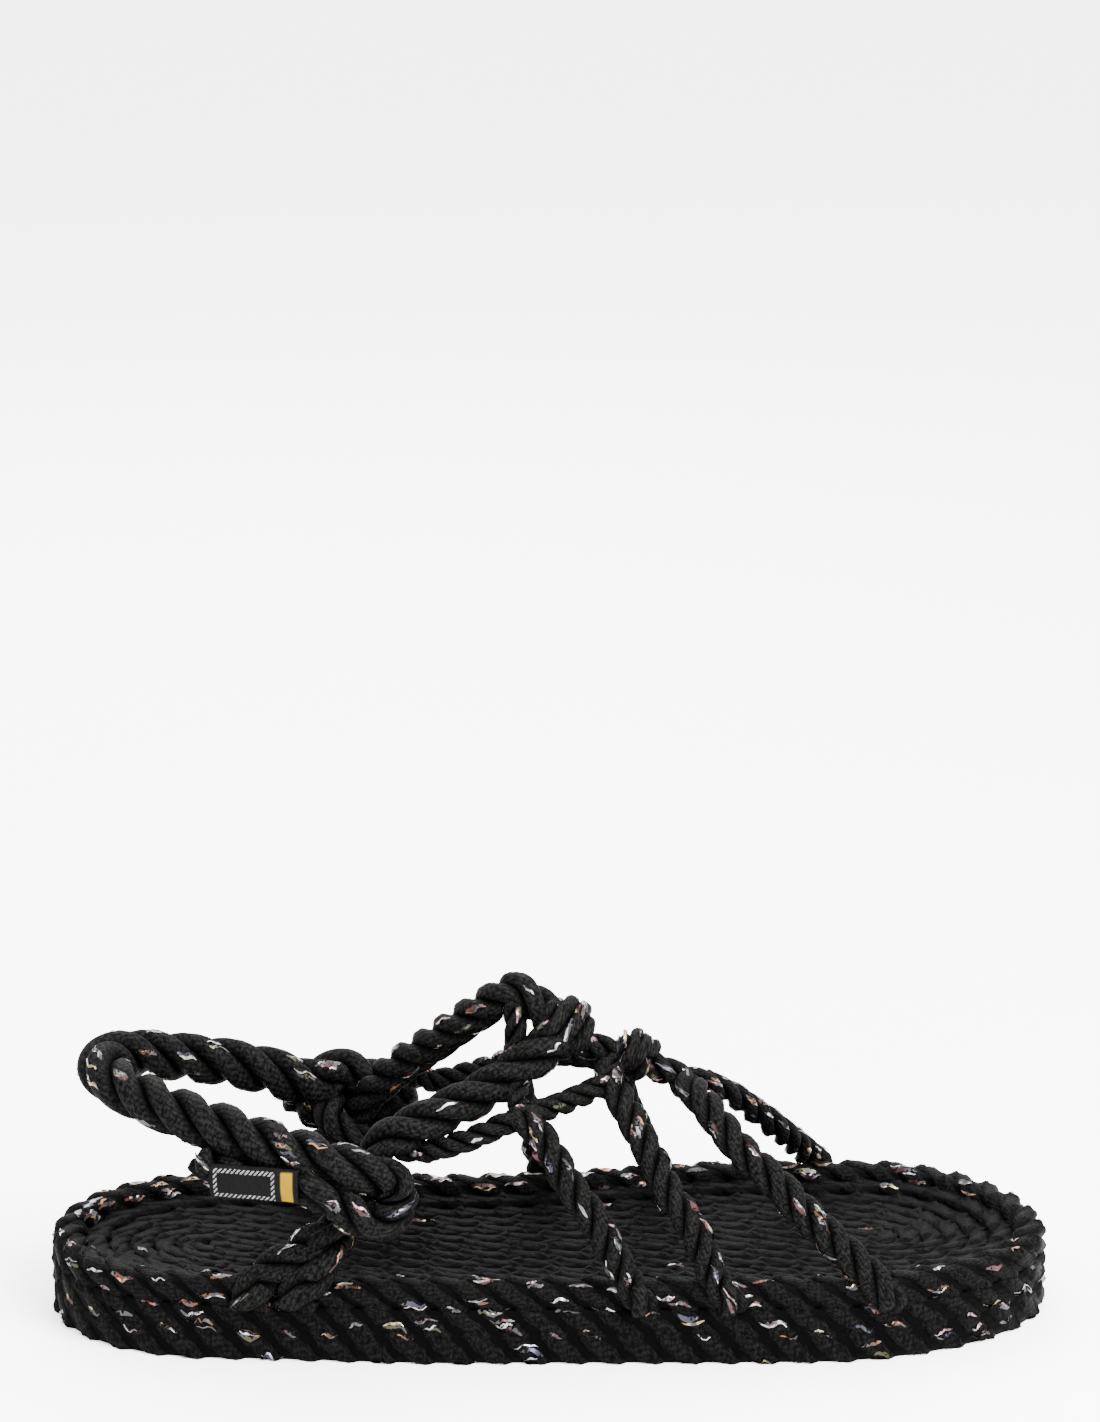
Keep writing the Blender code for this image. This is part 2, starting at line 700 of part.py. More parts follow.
def eye_frame(side):
    """The eye's middle on an ankle rope, its out, forward and up directions, and the ropes' distance."""
    rows, eye_row = (OUTER_ANKLE, OUTER_EYE_ROW) if side < 0 else (INNER_ANKLE, INNER_EYE_ROW)
    middle = place(rows[eye_row])
    up = place(rows[eye_row - 1]) - place(rows[eye_row + 1])
    up /= np.linalg.norm(up)
    out = np.array([0.0, side, 0.0])
    out = out - up * np.dot(out, up)
    out /= np.linalg.norm(out)
    forward = np.cross(out, up) * side
    return middle, out, forward, up, (EYE_NECK + EYE_ROPE) / 2 + CLEARANCE


def eye_leg(side, rows):
    """Rows of an eye's leg as points, on the outer side of the ankle rope."""
    middle, out, forward, up, reach = eye_frame(side)
    return [middle + out * reach + EYE_BEND * (row[0] * forward + row[1] * up) for row in rows]


def round_rope(name, points, radius, across):
    """A tightly bent rope as a round tube, with its rings set square to the bend."""
    points = np.array(points)
    tangents = np.gradient(points, axis=0)
    tangents /= np.linalg.norm(tangents, axis=1)[:, None]
    vertices = []
    for point, tangent in zip(points, tangents):
        over = np.cross(tangent, across)
        over /= np.linalg.norm(over)
        for side in range(BEND_SIDES):
            angle = 2 * math.pi * (side + 0.5) / BEND_SIDES
            vertices.append(point + radius * (over * math.cos(angle) + across * math.sin(angle)))
    return new_object(name, vertices, tube_faces(len(points), BEND_SIDES))


def eye_bend(name, side):
    """The half turn that joins an eye's two legs."""
    middle, out, forward, up, reach = eye_frame(side)
    points = []
    for degrees in range(-100, 101, 25):
        angle = math.radians(degrees)
        way = (EYE_BEND_FORWARD_SHARE + math.cos(angle)) * forward + math.sin(angle) * up
        points.append(middle + out * reach + EYE_BEND * way)
    return round_rope(name, points, EYE_ROPE / 2 * BEND_ROPE_SHARE, out)


def keeper(name, side):
    """The part of an eye that passes inside the ankle rope, from the bend round to the legs."""
    middle, out, forward, up, _ = eye_frame(side)
    reach = (EYE_NECK + KEEPER_ROPE) / 2 + CLEARANCE
    points = []
    for degrees in EYE_KEEPER:
        angle = math.radians(degrees)
        points.append(middle + reach * (out * math.cos(angle) + forward * math.sin(angle)))
    points.append(middle + reach * KEEPER_END[0] * out + EYE_BEND * KEEPER_END[1] * forward)
    return round_rope(name, points, KEEPER_ROPE / 2, up)


def heel_route():
    """The heel rope's main way, from the outer eye's upper leg round the heel to the inner eye's."""
    outer = eye_leg(-1, EYE_UPPER_LEG)[::-1]
    inner = eye_leg(1, EYE_UPPER_LEG)
    return outer + [place(row) for row in HEEL_RUN] + inner


def tail_route(side, rows):
    """The way of an eye's lower leg and its tail."""
    return eye_leg(side, EYE_LOWER_LEG) + [place(row) for row in rows]


def heel_strap(material):
    """The heel rope: round the back of the heel, with an eye on each ankle rope and a tucked tail."""
    outer = eye_leg(-1, EYE_UPPER_LEG)[::-1]
    inner = eye_leg(1, EYE_UPPER_LEG)
    route = heel_route()
    length = route_length(route)
    first = route_length(route[: len(outer) + 1]) / length
    last = route_length(route[: -len(inner)]) / length
    ease = HEEL_ROPE * HEEL_TAPER_PER_ROPE / length

    def radius_at(share):
        into = min(1.0, max(0.0, min(share - first + ease, last + ease - share) / ease))
        return (EYE_ROPE + (HEEL_ROPE - EYE_ROPE) * into * into * (3 - 2 * into)) / 2

    pieces = [rope("heel_run", route, radius_at, outward=straight_up)]
    for name, side, rows in (("outer", -1, OUTER_TAIL), ("inner", 1, INNER_TAIL)):
        tail = tail_route(side, rows)
        pieces.append(rope("heel_tail_" + name, tail, plain(EYE_ROPE / 2), outward=straight_up))
        pieces.append(eye_bend("heel_bend_" + name, side))
        pieces.append(keeper("heel_keeper_" + name, side))
    return joined("heel_strap", pieces, material)


def label(material):
    """A woven tag, slightly bowed round the outer side of the heel rope and clear of it."""
    start, end = (place(row) for row in LABEL_ENDS)
    middle = (start + end) / 2
    along = (end - start) / np.linalg.norm(end - start)
    out = np.array([0.0, -1.0, 0.0])
    out = out - along * np.dot(out, along)
    out /= np.linalg.norm(out)
    over = np.cross(along, out)
    inside = 0.0
    for route, radius in ((heel_route(), HEEL_ROPE / 2), (tail_route(-1, OUTER_TAIL), EYE_ROPE / 2)):
        points = smooth_route(route, LABEL_THICKNESS)[0] - middle
        beside = abs(points @ along) < LABEL_LENGTH / 2
        height = np.maximum(abs(points[beside] @ over) - LABEL_HEIGHT / 2, 0)
        rise = np.sqrt(np.maximum(radius**2 - height**2, 0)) * (height < radius)
        reach = points[beside] @ out + rise + CLEARANCE + LABEL_HEIGHT**2 / (8 * LABEL_BOW_RADIUS)
        inside = max(inside, reach[rise > 0].max())
    vertices = []
    for step in range(LABEL_STRIPS + 1):
        height = LABEL_HEIGHT * (step / LABEL_STRIPS - 0.5)
        bow = height * height / (2 * LABEL_BOW_RADIUS)
        for reach in (inside - bow, inside - bow + LABEL_THICKNESS):
            for end_side in (-0.5, 0.5):
                vertices.append(middle + along * end_side * LABEL_LENGTH + out * reach + over * height)
    top = 4 * LABEL_STRIPS
    faces = [(0, 1, 3, 2), (top, top + 2, top + 3, top + 1)]
    for step in range(LABEL_STRIPS):
        low = 4 * step
        for first, second in ((0, 1), (1, 3), (3, 2), (2, 0)):
            faces.append((low + first, low + 4 + first, low + 4 + second, low + second))
    return new_object("label", vertices, faces, material)


for stale in list(bpy.data.objects):
    bpy.data.objects.remove(stale)

fibre = rope_material("black_rope", (0.018, 0.018, 0.020), 0.72)
thin_fibre = rope_material("footbed_rope", (0.014, 0.014, 0.015), 0.8)
strap_fibre = rope_material("strap_rope", (0.020, 0.020, 0.022), 0.66)
heel_fibre = rope_material("heel_strap_rope", (0.020, 0.020, 0.022), 0.66)
woven = rope_material("woven_tag", (0.012, 0.012, 0.013), 0.6)
middle_fibre = rope_material("middle_rope", (0.018, 0.018, 0.020), 0.72)
rim_fibre = rope_material("rim_rope", (0.019, 0.019, 0.021), 0.70)

first_seam = OUTSOLE_MIDDLE + ROW_PITCH / 2
second_seam = MIDDLE_MIDDLE + ROW_PITCH / 2
coil_layer("outsole_coil", OUTSOLE_MIDDLE, 0.0, first_seam - CLEARANCE / 2, fibre)
coil_layer("middle_coil", MIDDLE_MIDDLE, first_seam + CLEARANCE / 2, second_seam - CLEARANCE / 2, middle_fibre)
rim_rope(rim_fibre)
footbed(thin_fibre)
upper(strap_fibre)
heel_strap(heel_fibre)
label(woven)
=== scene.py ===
"""A rope sandal for the right foot, dressed: every rope is three twisted strands of black fibre with tinsel.

Metres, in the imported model's own frame. +X runs to the toe, +Y to the inner side of the foot, +Z up.
"""

import math

import bpy
import numpy as np
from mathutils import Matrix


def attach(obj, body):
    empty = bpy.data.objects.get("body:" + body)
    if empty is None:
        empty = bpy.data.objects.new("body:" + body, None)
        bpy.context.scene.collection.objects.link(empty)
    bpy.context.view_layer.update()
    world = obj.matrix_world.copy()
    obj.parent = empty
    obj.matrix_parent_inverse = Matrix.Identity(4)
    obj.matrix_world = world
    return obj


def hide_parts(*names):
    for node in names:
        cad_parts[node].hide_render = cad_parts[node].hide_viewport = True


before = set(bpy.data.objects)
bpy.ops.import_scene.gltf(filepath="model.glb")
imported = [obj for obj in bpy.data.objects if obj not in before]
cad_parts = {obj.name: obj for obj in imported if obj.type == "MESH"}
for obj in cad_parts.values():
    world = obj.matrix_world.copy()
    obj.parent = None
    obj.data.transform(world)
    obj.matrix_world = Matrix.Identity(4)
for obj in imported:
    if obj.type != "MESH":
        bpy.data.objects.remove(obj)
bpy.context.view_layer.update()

# The lowest layer of the sole is one thick three-strand rope. Its first turn follows the sandal's outline
# and the next ones coil inwards, sewn side by side, and the floor presses the strands flat underneath.
SHOE_LENGTH = 0.276
HEEL_WIDTH = 0.085
WAIST_WIDTH = 0.0862
BALL_WIDTH = 0.0962
HEEL_OFFSET = 0.006
WAIST_OFFSET = 0.0016
BALL_OFFSET = 0.0056
TOE_SWING = -0.0024
HEEL_ROUND = 0.051
TOE_ROUND_OUTER = 0.070
TOE_ROUND_INNER = 0.046
HEEL_SQUARENESS = 2.1
TOE_SQUARENESS = 1.9
TOE_SWING_START_SHARE = 0.7
SOLE_ROPE = 0.0088
SOLE_RADIUS = SOLE_ROPE / 2
SOLE_LAY = 0.0310
ROW_PITCH = 0.0072
FLOOR_PRESS = 0.0001
OUTSOLE_MIDDLE = SOLE_RADIUS - FLOOR_PRESS
FLOOR_GAP = 0.0002
OUTSOLE_TURNS = 5
SIDE_RADIUS = 0.0053
LOWEST_SIDE_RADIUS = 0.0066
SIDE_SQUARENESS = 5.0
SIDE_HEART = 0.83
MIDDLE_TURN = 0.72
OUTSOLE_TURN = 1.71
SOLE_TUFTS = 430
TURN_PITCH = 0.0080
STEP_IN_SHARE = 0.12
OUTLINE_POINTS = 1200
# Columns: share of the length, width, offset of the middle to the inner side.
OUTLINE = (
    (0.00, HEEL_WIDTH, HEEL_OFFSET),
    (0.15, HEEL_WIDTH, HEEL_OFFSET),
    (0.42, WAIST_WIDTH, WAIST_OFFSET),
    (0.72, BALL_WIDTH, BALL_OFFSET),
    (1.00, BALL_WIDTH, BALL_OFFSET),
)
UP = np.array([0.0, 0.0, 1.0])


def eased(share, column):
    """A column of the outline's table at a share of the length, with soft changes from row to row."""
    stations = [row[0] for row in OUTLINE]
    values = [row[column] for row in OUTLINE]
    index = np.clip(np.searchsorted(stations, share) - 1, 0, len(stations) - 2)
    start = np.take(stations, index)
    local = (share - start) / (np.take(stations, index + 1) - start)
    local = local * local * (3 - 2 * local)
    return np.take(values, index) * (1 - local) + np.take(values, index + 1) * local


def middle_at(share):
    """How far the sole's middle line lies to the inner side at a share of the length."""
    swing = np.clip((share - TOE_SWING_START_SHARE) / (1 - TOE_SWING_START_SHARE), 0, 1) ** 2
    return eased(share, 2) + TOE_SWING * swing


def end_factor(distance, rounding, squareness):
    """How much of its width the sole has at a distance from its end."""
    missing = np.clip(1 - distance / rounding, 0, 1)
    return (1 - missing**squareness) ** (1 / squareness)


def outline(inset):
    """Evenly spaced points anticlockwise from the heel, inset from the sole's outer edge."""
    turn = np.linspace(0, 2 * math.pi, 2 * OUTLINE_POINTS + 1)
    reach = SHOE_LENGTH / 2 - inset
    x = -reach * np.cos(turn)
    side = np.where(turn < math.pi, -1.0, 1.0)
    share = np.clip(x / SHOE_LENGTH + 0.5, 0, 1)
    half = eased(share, 1) / 2 - inset
    toe_round = np.where(side < 0, TOE_ROUND_OUTER, TOE_ROUND_INNER) - inset
    half = half * end_factor(x + reach, HEEL_ROUND - inset, HEEL_SQUARENESS)
    half = half * end_factor(reach - x, toe_round, TOE_SQUARENESS)
    loop = np.stack([x, middle_at(share) + side * half], axis=1)
    length = np.append(0, np.cumsum(np.linalg.norm(np.diff(loop, axis=0), axis=1)))
    stations = np.arange(OUTLINE_POINTS) * length[-1] / OUTLINE_POINTS
    return np.stack([np.interp(stations, length, loop[:, axis]) for axis in (0, 1)], axis=1)


def edge_turn(height):
    """The middle line of a turn of the sole's rope along the sandal's edge."""
    return np.column_stack([outline(SOLE_RADIUS), np.full(OUTLINE_POINTS, height)])


def coil(first_inset, turns, pitch, height):
    """The middle line of a rope that coils inwards: it steps in by one pitch at the heel of each turn."""
    rows = []
    for turn in range(turns):
        outer = outline(first_inset + pitch * max(0, turn - 1))
        inner = outline(first_inset + pitch * turn)
        step = np.clip(np.arange(OUTLINE_POINTS) / OUTLINE_POINTS / STEP_IN_SHARE, 0, 1)
        step = (step * step * (3 - 2 * step))[:, None]
        rows.append(outer * (1 - step) + inner * step)
    flat = np.vstack(rows)
    return np.column_stack([flat, np.full(len(flat), height)])


def even_route(points, step, closed=False):
    """Evenly spaced points along a route, their stations in metres, and the route's directions there."""
    points = np.asarray(points, float)
    if closed:
        points = np.vstack([points, points[:1]])
    length = np.append(0, np.cumsum(np.linalg.norm(np.diff(points, axis=0), axis=1)))
    count = max(4, round(length[-1] / step) + 1)
    stations = np.linspace(0, length[-1], count)
    even = np.stack([np.interp(stations, length, points[:, axis]) for axis in range(3)], axis=1)
    tangents = np.gradient(even, axis=0)
    if closed:
        tangents[0] = tangents[-1] = even[1] - even[-2]
    tangents /= np.linalg.norm(tangents, axis=1)[:, None]
    return even, stations, tangents


def along_route(value, share):
    """A number, or a function of the share of the length, as numbers along a route."""
    return value(share) if callable(value) else np.full(len(share), value)


def square_reach(cos, sin, squareness):
    """How far out the edge of a section lies: squareness is 2 for a round one and more for a square one."""
    return (abs(cos) ** squareness + abs(sin) ** squareness) ** (-1 / squareness)


# Shares of the rope's half width: how far out a strand's middle lies, and how thick and how wide it is.
# A tight rope's strands are nearly round, and those of the pressed sole wider.
TIGHT_STRAND = (0.52, 0.48, 0.535)
PRESSED_STRAND = (0.51, 0.49, 0.67)
# Under 1, a strand's own section is fuller than an ellipse.
PLUMPNESS = 0.80
# The yarns lie almost along the rope, so they go round a strand against its own turn, this often in a lay.
YARN_TURNS = 1.70
STRAND_TIP = 0.0018
LEAST_TIP_AREA = 0.02
# In the yarn map, a metre of rope counts as this much strand, and each strand starts this far past the last.
STRAND_PER_ROPE = 1.3
STRAND_APART = 0.731
HEART_SIDES = 16
# The filling between the strands gets this distance out, so the material paints it dark, as painted shade in
# the grooves.
HEART_SHADE = 0.5
# A tuft of tinsel shows as a dim patch with a bright core. Each has its least and greatest length and width,
# its first and last hue, its lift off the strand, and the share of the tufts that have it.
TINSEL_PATCH = ((0.0038, 0.0076), (0.0009, 0.0018), (0.62, 1.00), 0.00004, 0.80)
TINSEL_CORE = ((0.0026, 0.0074), (0.00040, 0.00092), (0.00, 0.60), 0.00014, 0.80)
# A tuft lies within an angle of the strand's crown, and its patch and core lie a little apart along and round
# the strand. Each waves and tilts from point to point, and tapers to its ends.
TUFT_SPREAD = 0.5
TUFT_APART = 0.0008
TUFT_TURNED_APART = 0.08
TUFT_WAVE = 0.09
TUFT_WAVE_STEP = 1.5
TUFT_TILT = 0.35
TUFT_TILT_STEP = 1.3
TUFT_TAPER = 0.35
LARGEST_PHASE = 20
THREAD_POINTS = 7
THREAD_APART = 7
chance = np.random.default_rng(11)


def quads_object(name, points, faces, maps, material):
    """A smooth object from points, quads and its named maps."""
    mesh = bpy.data.meshes.new(name)
    mesh.vertices.add(len(points))
    mesh.vertices.foreach_set("co", points.astype(np.float32).ravel())
    mesh.loops.add(faces.size)
    mesh.loops.foreach_set("vertex_index", faces.astype(np.int32).ravel())
    mesh.polygons.add(len(faces))
    mesh.polygons.foreach_set("loop_start", np.arange(0, faces.size, 4, dtype=np.int32))
    for map_name, corners in maps.items():
        layer = mesh.uv_layers.new(name=map_name)
        layer.data.foreach_set("uv", corners.astype(np.float32).ravel())
    mesh.update(calc_edges=True)
    mesh.shade_smooth()
    mesh.materials.append(material)
    obj = bpy.data.objects.new(name, mesh)
    bpy.context.scene.collection.objects.link(obj)
    return obj


def full(values):
    """Sines or cosines of a section that is fuller than an ellipse."""
    return np.sign(values) * abs(values) ** PLUMPNESS


class Strands:
    """The strands of laid ropes, gathered into one mesh, and the threads of tinsel that lie on them.

    The yarn map runs along a strand in metres, and round it in turns that stay the same along a yarn. The
    second map holds how far out of the rope's middle a place is, 1 on the crowns and less in the grooves;
    the material paints the grooves darker with it, as painted shade.
    The tinsel's map holds the thread's hue and its own length.
    """

    def __init__(self):
        self.points = []
        self.faces = []
        self.maps = []
        self.wear_and_groove_shade = []
        self.count = 0
        self.offset = 0.0
        self.threads = []
        self.hues = []

    def tube(self, rings, along, round_, depth):
        """Adds a tube of rings, each of the same number of points, closed at both ends."""
        amount, sides, _ = rings.shape
        self.points.append(rings.reshape(-1, 3))
        index = self.count + np.arange(amount * sides).reshape(amount, sides)
        low, high = index[:-1], index[1:]
        quads = np.stack([low, np.roll(low, -1, 1), np.roll(high, -1, 1), high], axis=-1)
        self.faces.append(quads.reshape(-1, 4))
        u = np.repeat(along[:, None], sides, 1) + self.offset
        corners = [
            np.stack([u[:-1], round_[:-1, :-1]], -1),
            np.stack([u[:-1], round_[:-1, 1:]], -1),
            np.stack([u[1:], round_[1:, 1:]], -1),
            np.stack([u[1:], round_[1:, :-1]], -1),
        ]
        self.maps.append(np.stack(corners, axis=2).reshape(-1, 4, 2))
        # Each corner's distance out from the rope's middle, 1 on the crowns; the material paints the grooves
        # dark with it, as painted shade.
        crown_shade = depth.ravel()[quads.reshape(-1, 4) - self.count]
        self.wear_and_groove_shade.append(np.stack([crown_shade, np.zeros_like(crown_shade)], axis=-1))
        self.count += amount * sides
        self.offset += along[-1] + STRAND_APART
        for ring, order in ((0, -1), (amount - 1, 1)):
            for side in range(1, sides - 1, 2):
                cap = index[ring, [0, side, side + 1, (side + 2) % sides]]
                self.faces.append(cap[None, ::order])
                self.maps.append(np.full((1, 4, 2), self.offset))
                # The end caps get 0 there, so they are painted fully dark as shade.
                self.wear_and_groove_shade.append(np.zeros((1, 4, 2)))

    def tuft(self, surface, length, lay, at):
        """Adds a tuft of tinsel on a strand's outer side, along its yarns."""
        around = chance.uniform(-TUFT_SPREAD, TUFT_SPREAD)
        number = np.arange(THREAD_POINTS)
        for lengths, widths, hues, lift, share in (TINSEL_PATCH, TINSEL_CORE):
            if chance.random() > share:
                continue
            reach = chance.uniform(*lengths)
            phase = chance.uniform(0, LARGEST_PHASE)
            start = at + chance.uniform(-TUFT_APART, TUFT_APART)
            stations = np.clip(start + np.linspace(-0.5, 0.5, THREAD_POINTS) * reach, 0, length)
            turned = 2 * np.pi * YARN_TURNS * (stations - start) / lay
            psi = around + chance.uniform(-TUFT_TURNED_APART, TUFT_TURNED_APART) - turned
            psi = psi + TUFT_WAVE * np.sin(number * TUFT_WAVE_STEP + phase)
            path, middle = surface(stations, psi)
            normal = path - middle
            normal /= np.linalg.norm(normal, axis=1)[:, None]
            side = np.cross(normal, np.gradient(path, axis=0))
            side /= np.linalg.norm(side, axis=1)[:, None] + 1e-9
            tilt = TUFT_TILT * np.sin(number * TUFT_TILT_STEP + phase)[:, None]
            taper = np.sin(np.linspace(TUFT_TAPER, np.pi - TUFT_TAPER, THREAD_POINTS))[:, None]
            half = chance.uniform(*widths) / 2 * taper
            edge = (side * np.cos(tilt) + normal * np.sin(tilt)) * half
            middle_line = path + normal * lift
            self.threads.append(np.stack([middle_line - edge, middle_line + edge], axis=1))
            self.hues.append((chance.uniform(*hues), phase))

    def rope(
        self, points, radius, lay, outward=None, step=0.0012, sides=12, turn=0.0,
        closed=False, flat=None, squareness=2.0, tufts=0.0, strand_shape=TIGHT_STRAND, heart=0.0,
    ):
        """Adds a three-strand right-hand rope along a route.

        radius and flat are numbers or functions of the share of the length: the half width, and the half
        thickness along outward, where the rope is pressed. Without outward, a level rope's own side
        counts. squareness is 2 for a round rope and more for one pressed square. tufts is how many tufts
        of tinsel a metre of it has. heart is the size of the filling between the strands, as a share of
        the rope's.
        """
        even, stations, tangents = even_route(points, step, closed)
        length = stations[-1]
        share = stations / length
        width = along_route(radius, share)
        thick = width if flat is None else along_route(flat, share)
        if outward is None:
            normal = np.cross(tangents, UP)
        else:
            normal = outward(even) if callable(outward) else np.broadcast_to(outward, even.shape)
        normal = normal - tangents * np.sum(normal * tangents, axis=1)[:, None]
        normal = normal / np.linalg.norm(normal, axis=1)[:, None]
        across = np.cross(tangents, normal)
        turns = length / lay
        if closed:
            turns = round(turns * 3) / 3
        psi = np.linspace(-np.pi, np.pi, sides, endpoint=False)
        strand_out, strand_thick, strand_wide = strand_shape
        tip = np.ones(len(share))
        if not closed:
            near = np.clip(np.minimum(stations, length - stations) / STRAND_TIP, 0, 1)
            tip = np.sqrt(np.clip(1 - (1 - near) ** 2, LEAST_TIP_AREA, 1))
        if heart:
            angles = np.linspace(-np.pi, np.pi, HEART_SIDES, endpoint=False)
            cos, sin = np.cos(angles), np.sin(angles)
            reach = heart * square_reach(cos, sin, squareness)
            rings = even[:, None, :] + (thick[:, None] * (cos * reach))[..., None] * normal[:, None, :]
            rings = rings + (width[:, None] * (sin * reach))[..., None] * across[:, None, :]
            yarn = np.tile(np.linspace(-0.5, 0.5, HEART_SIDES + 1), (len(share), 1))
            self.tube(rings, stations, yarn, np.full(rings.shape[:2], HEART_SHADE))
        for strand in range(3):
            phi = 2 * np.pi * (turns * share + strand / 3) + turn
            cos, sin = np.cos(phi), np.sin(phi)
            reach = square_reach(cos, sin, squareness)
            along_a = (abs(cos) * reach) ** (squareness - 1) * np.sign(cos)
            along_n = -((abs(sin) * reach) ** (squareness - 1)) * np.sign(sin)
            size = np.hypot(along_a, along_n)
            out = (thick * cos * reach)[:, None] * normal + (width * sin * reach)[:, None] * across
            aside = (thick * along_n / size)[:, None] * normal + (width * along_a / size)[:, None] * across
            middle = even + out * strand_out
            ring_out = strand_thick * full(np.cos(psi))[None, :, None] * tip[:, None, None]
            ring_aside = strand_wide * full(np.sin(psi))[None, :, None] * tip[:, None, None]
            rings = middle[:, None, :] + out[:, None, :] * ring_out + aside[:, None, :] * ring_aside
            yarn = np.linspace(-0.5, 0.5, sides + 1)[None, :] + (YARN_TURNS * stations / lay)[:, None]
            off = rings - even[:, None, :]
            off_normal = np.sum(off * normal[:, None, :], axis=2) / thick[:, None]
            off_across = np.sum(off * across[:, None, :], axis=2) / width[:, None]
            depth = (abs(off_normal) ** squareness + abs(off_across) ** squareness) ** (1 / squareness)
            self.tube(rings, stations * STRAND_PER_ROPE, yarn, depth)

            def surface(at, around):
                place_at = at / length * (len(even) - 1)
                low = np.clip(place_at.astype(int), 0, len(even) - 2)
                part = (place_at - low)[:, None]
                mid = middle[low] * (1 - part) + middle[low + 1] * part
                out_at = out[low] * (1 - part) + out[low + 1] * part
                aside_at = aside[low] * (1 - part) + aside[low + 1] * part
                on = out_at * strand_thick * full(np.cos(around))[:, None]
                return mid + on + aside_at * strand_wide * full(np.sin(around))[:, None], mid

            for _ in range(chance.poisson(tufts * length / 3)):
                self.tuft(surface, length, lay, chance.uniform(0, length))

    def piece(self, name, material, floor=None):
        """The finished strands."""
        points = np.vstack(self.points)
        if floor is not None:
            points[:, 2] = np.maximum(points[:, 2], floor)
        # The second map is the distance out that drives the painted shade in the grooves.
        maps = {"yarn": np.vstack(self.maps), "wear_and_groove_shade": np.vstack(self.wear_and_groove_shade)}
        return quads_object(name, points, np.vstack(self.faces), maps, material)

    def tinsel(self, name, material, floor=0.0):
        """The finished threads of tinsel."""
        count = len(self.threads)
        points = np.stack(self.threads).reshape(-1, 3)
        points[:, 2] = np.maximum(points[:, 2], floor)
        index = np.arange(count * THREAD_POINTS * 2).reshape(count, THREAD_POINTS, 2)
        quads = [index[:, :-1, 0], index[:, 1:, 0], index[:, 1:, 1], index[:, :-1, 1]]
        faces = np.stack(quads, axis=-1).reshape(-1, 4)
        hues, phases = np.array(self.hues).T
        hue = np.broadcast_to(hues[:, None, None], index.shape)
        along = np.arange(THREAD_POINTS)[None, :, None] / (THREAD_POINTS - 1)
        along = np.broadcast_to(along + phases[:, None, None] * THREAD_APART, index.shape)
        maps = np.stack([hue, along], axis=-1).reshape(-1, 2)[faces.ravel()]
        return quads_object(name, points, faces, {"thread": maps}, material)


class Value:
    """A number on a material, with the operators that add Math nodes."""

    def __init__(self, tree, socket):
        self.tree = tree
        self.socket = socket

    def math(self, operation, *others):
        """Adds a Math node that starts from this value."""
        return self.node("ShaderNodeMath", {"operation": operation}, {0: self, **dict(enumerate(others, 1))})

    def node(self, kind, settings=None, links=None, output=0):
        """Adds a node: its settings first, then the values or links of its sockets. Gives one output."""
        made = self.tree.nodes.new(kind)
        for key, value in (settings or {}).items():
            setattr(made, key, value)
        for key, value in (links or {}).items():
            if isinstance(value, Value):
                self.tree.links.new(value.socket, made.inputs[key])
            else:
                made.inputs[key].default_value = value
        return Value(self.tree, made.outputs[output])

    def __add__(self, other):
        return self.math("ADD", other)

    def __rsub__(self, other):
        return self.node("ShaderNodeMath", {"operation": "SUBTRACT"}, {0: other, 1: self})

    def __mul__(self, other):
        return self.math("MULTIPLY", other)

    __radd__ = __add__

    def second(self):
        """The second output of the node that this value comes from."""
        return Value(self.tree, self.socket.node.outputs[1])

    def step(self, low, high):
        """0 under low, 1 over high and a soft change between."""
        links = {"Value": self, "From Min": low, "From Max": high}
        return self.node("ShaderNodeMapRange", {"interpolation_type": "SMOOTHSTEP"}, links)


def map_axes(start, name):
    """The two axes of a named map."""
    first = start.node("ShaderNodeSeparateXYZ", None, {0: start.node("ShaderNodeUVMap", {"uv_map": name})})
    return first, first.second()


def ramp(value, stops):
    """A colour for each range of a value. Stops are (place, colour)."""
    made = value.node("ShaderNodeValToRGB", None, {"Fac": value})
    colours = made.socket.node.color_ramp
    colours.interpolation = "CONSTANT"
    while len(colours.elements) < len(stops):
        colours.elements.new(0.5)
    for element, (place, colour) in zip(colours.elements, stops):
        element.position = place
        element.color = (*colour, 1)
    return made


def mix(factor, first, second):
    """A colour between two colours."""
    return factor.node("ShaderNodeMix", {"data_type": "RGBA"}, {0: factor, 6: first, 7: second}, output=2)


# Tinsel colours. The bright cores are silver, cream, pale gold, copper and pink, and the dim patches under
# them maroon, copper brown, violet, olive, slate and dark red.
TINSEL = (
    (0.00, (0.240, 0.246, 0.258)),
    (0.13, (0.102, 0.105, 0.114)),
    (0.24, (0.276, 0.252, 0.204)),
    (0.37, (0.228, 0.168, 0.072)),
    (0.47, (0.204, 0.090, 0.045)),
    (0.54, (0.228, 0.144, 0.144)),
    (0.61, (0.027, 0.005, 0.005)),
    (0.71, (0.048, 0.016, 0.007)),
    (0.78, (0.012, 0.010, 0.023)),
    (0.84, (0.022, 0.020, 0.007)),
    (0.90, (0.018, 0.018, 0.020)),
    (0.95, (0.036, 0.009, 0.012)),
)
FIBRE_DARK = (0.0002, 0.0002, 0.0002, 1)
FIBRE_LIGHT = (0.0037, 0.0036, 0.0035, 1)


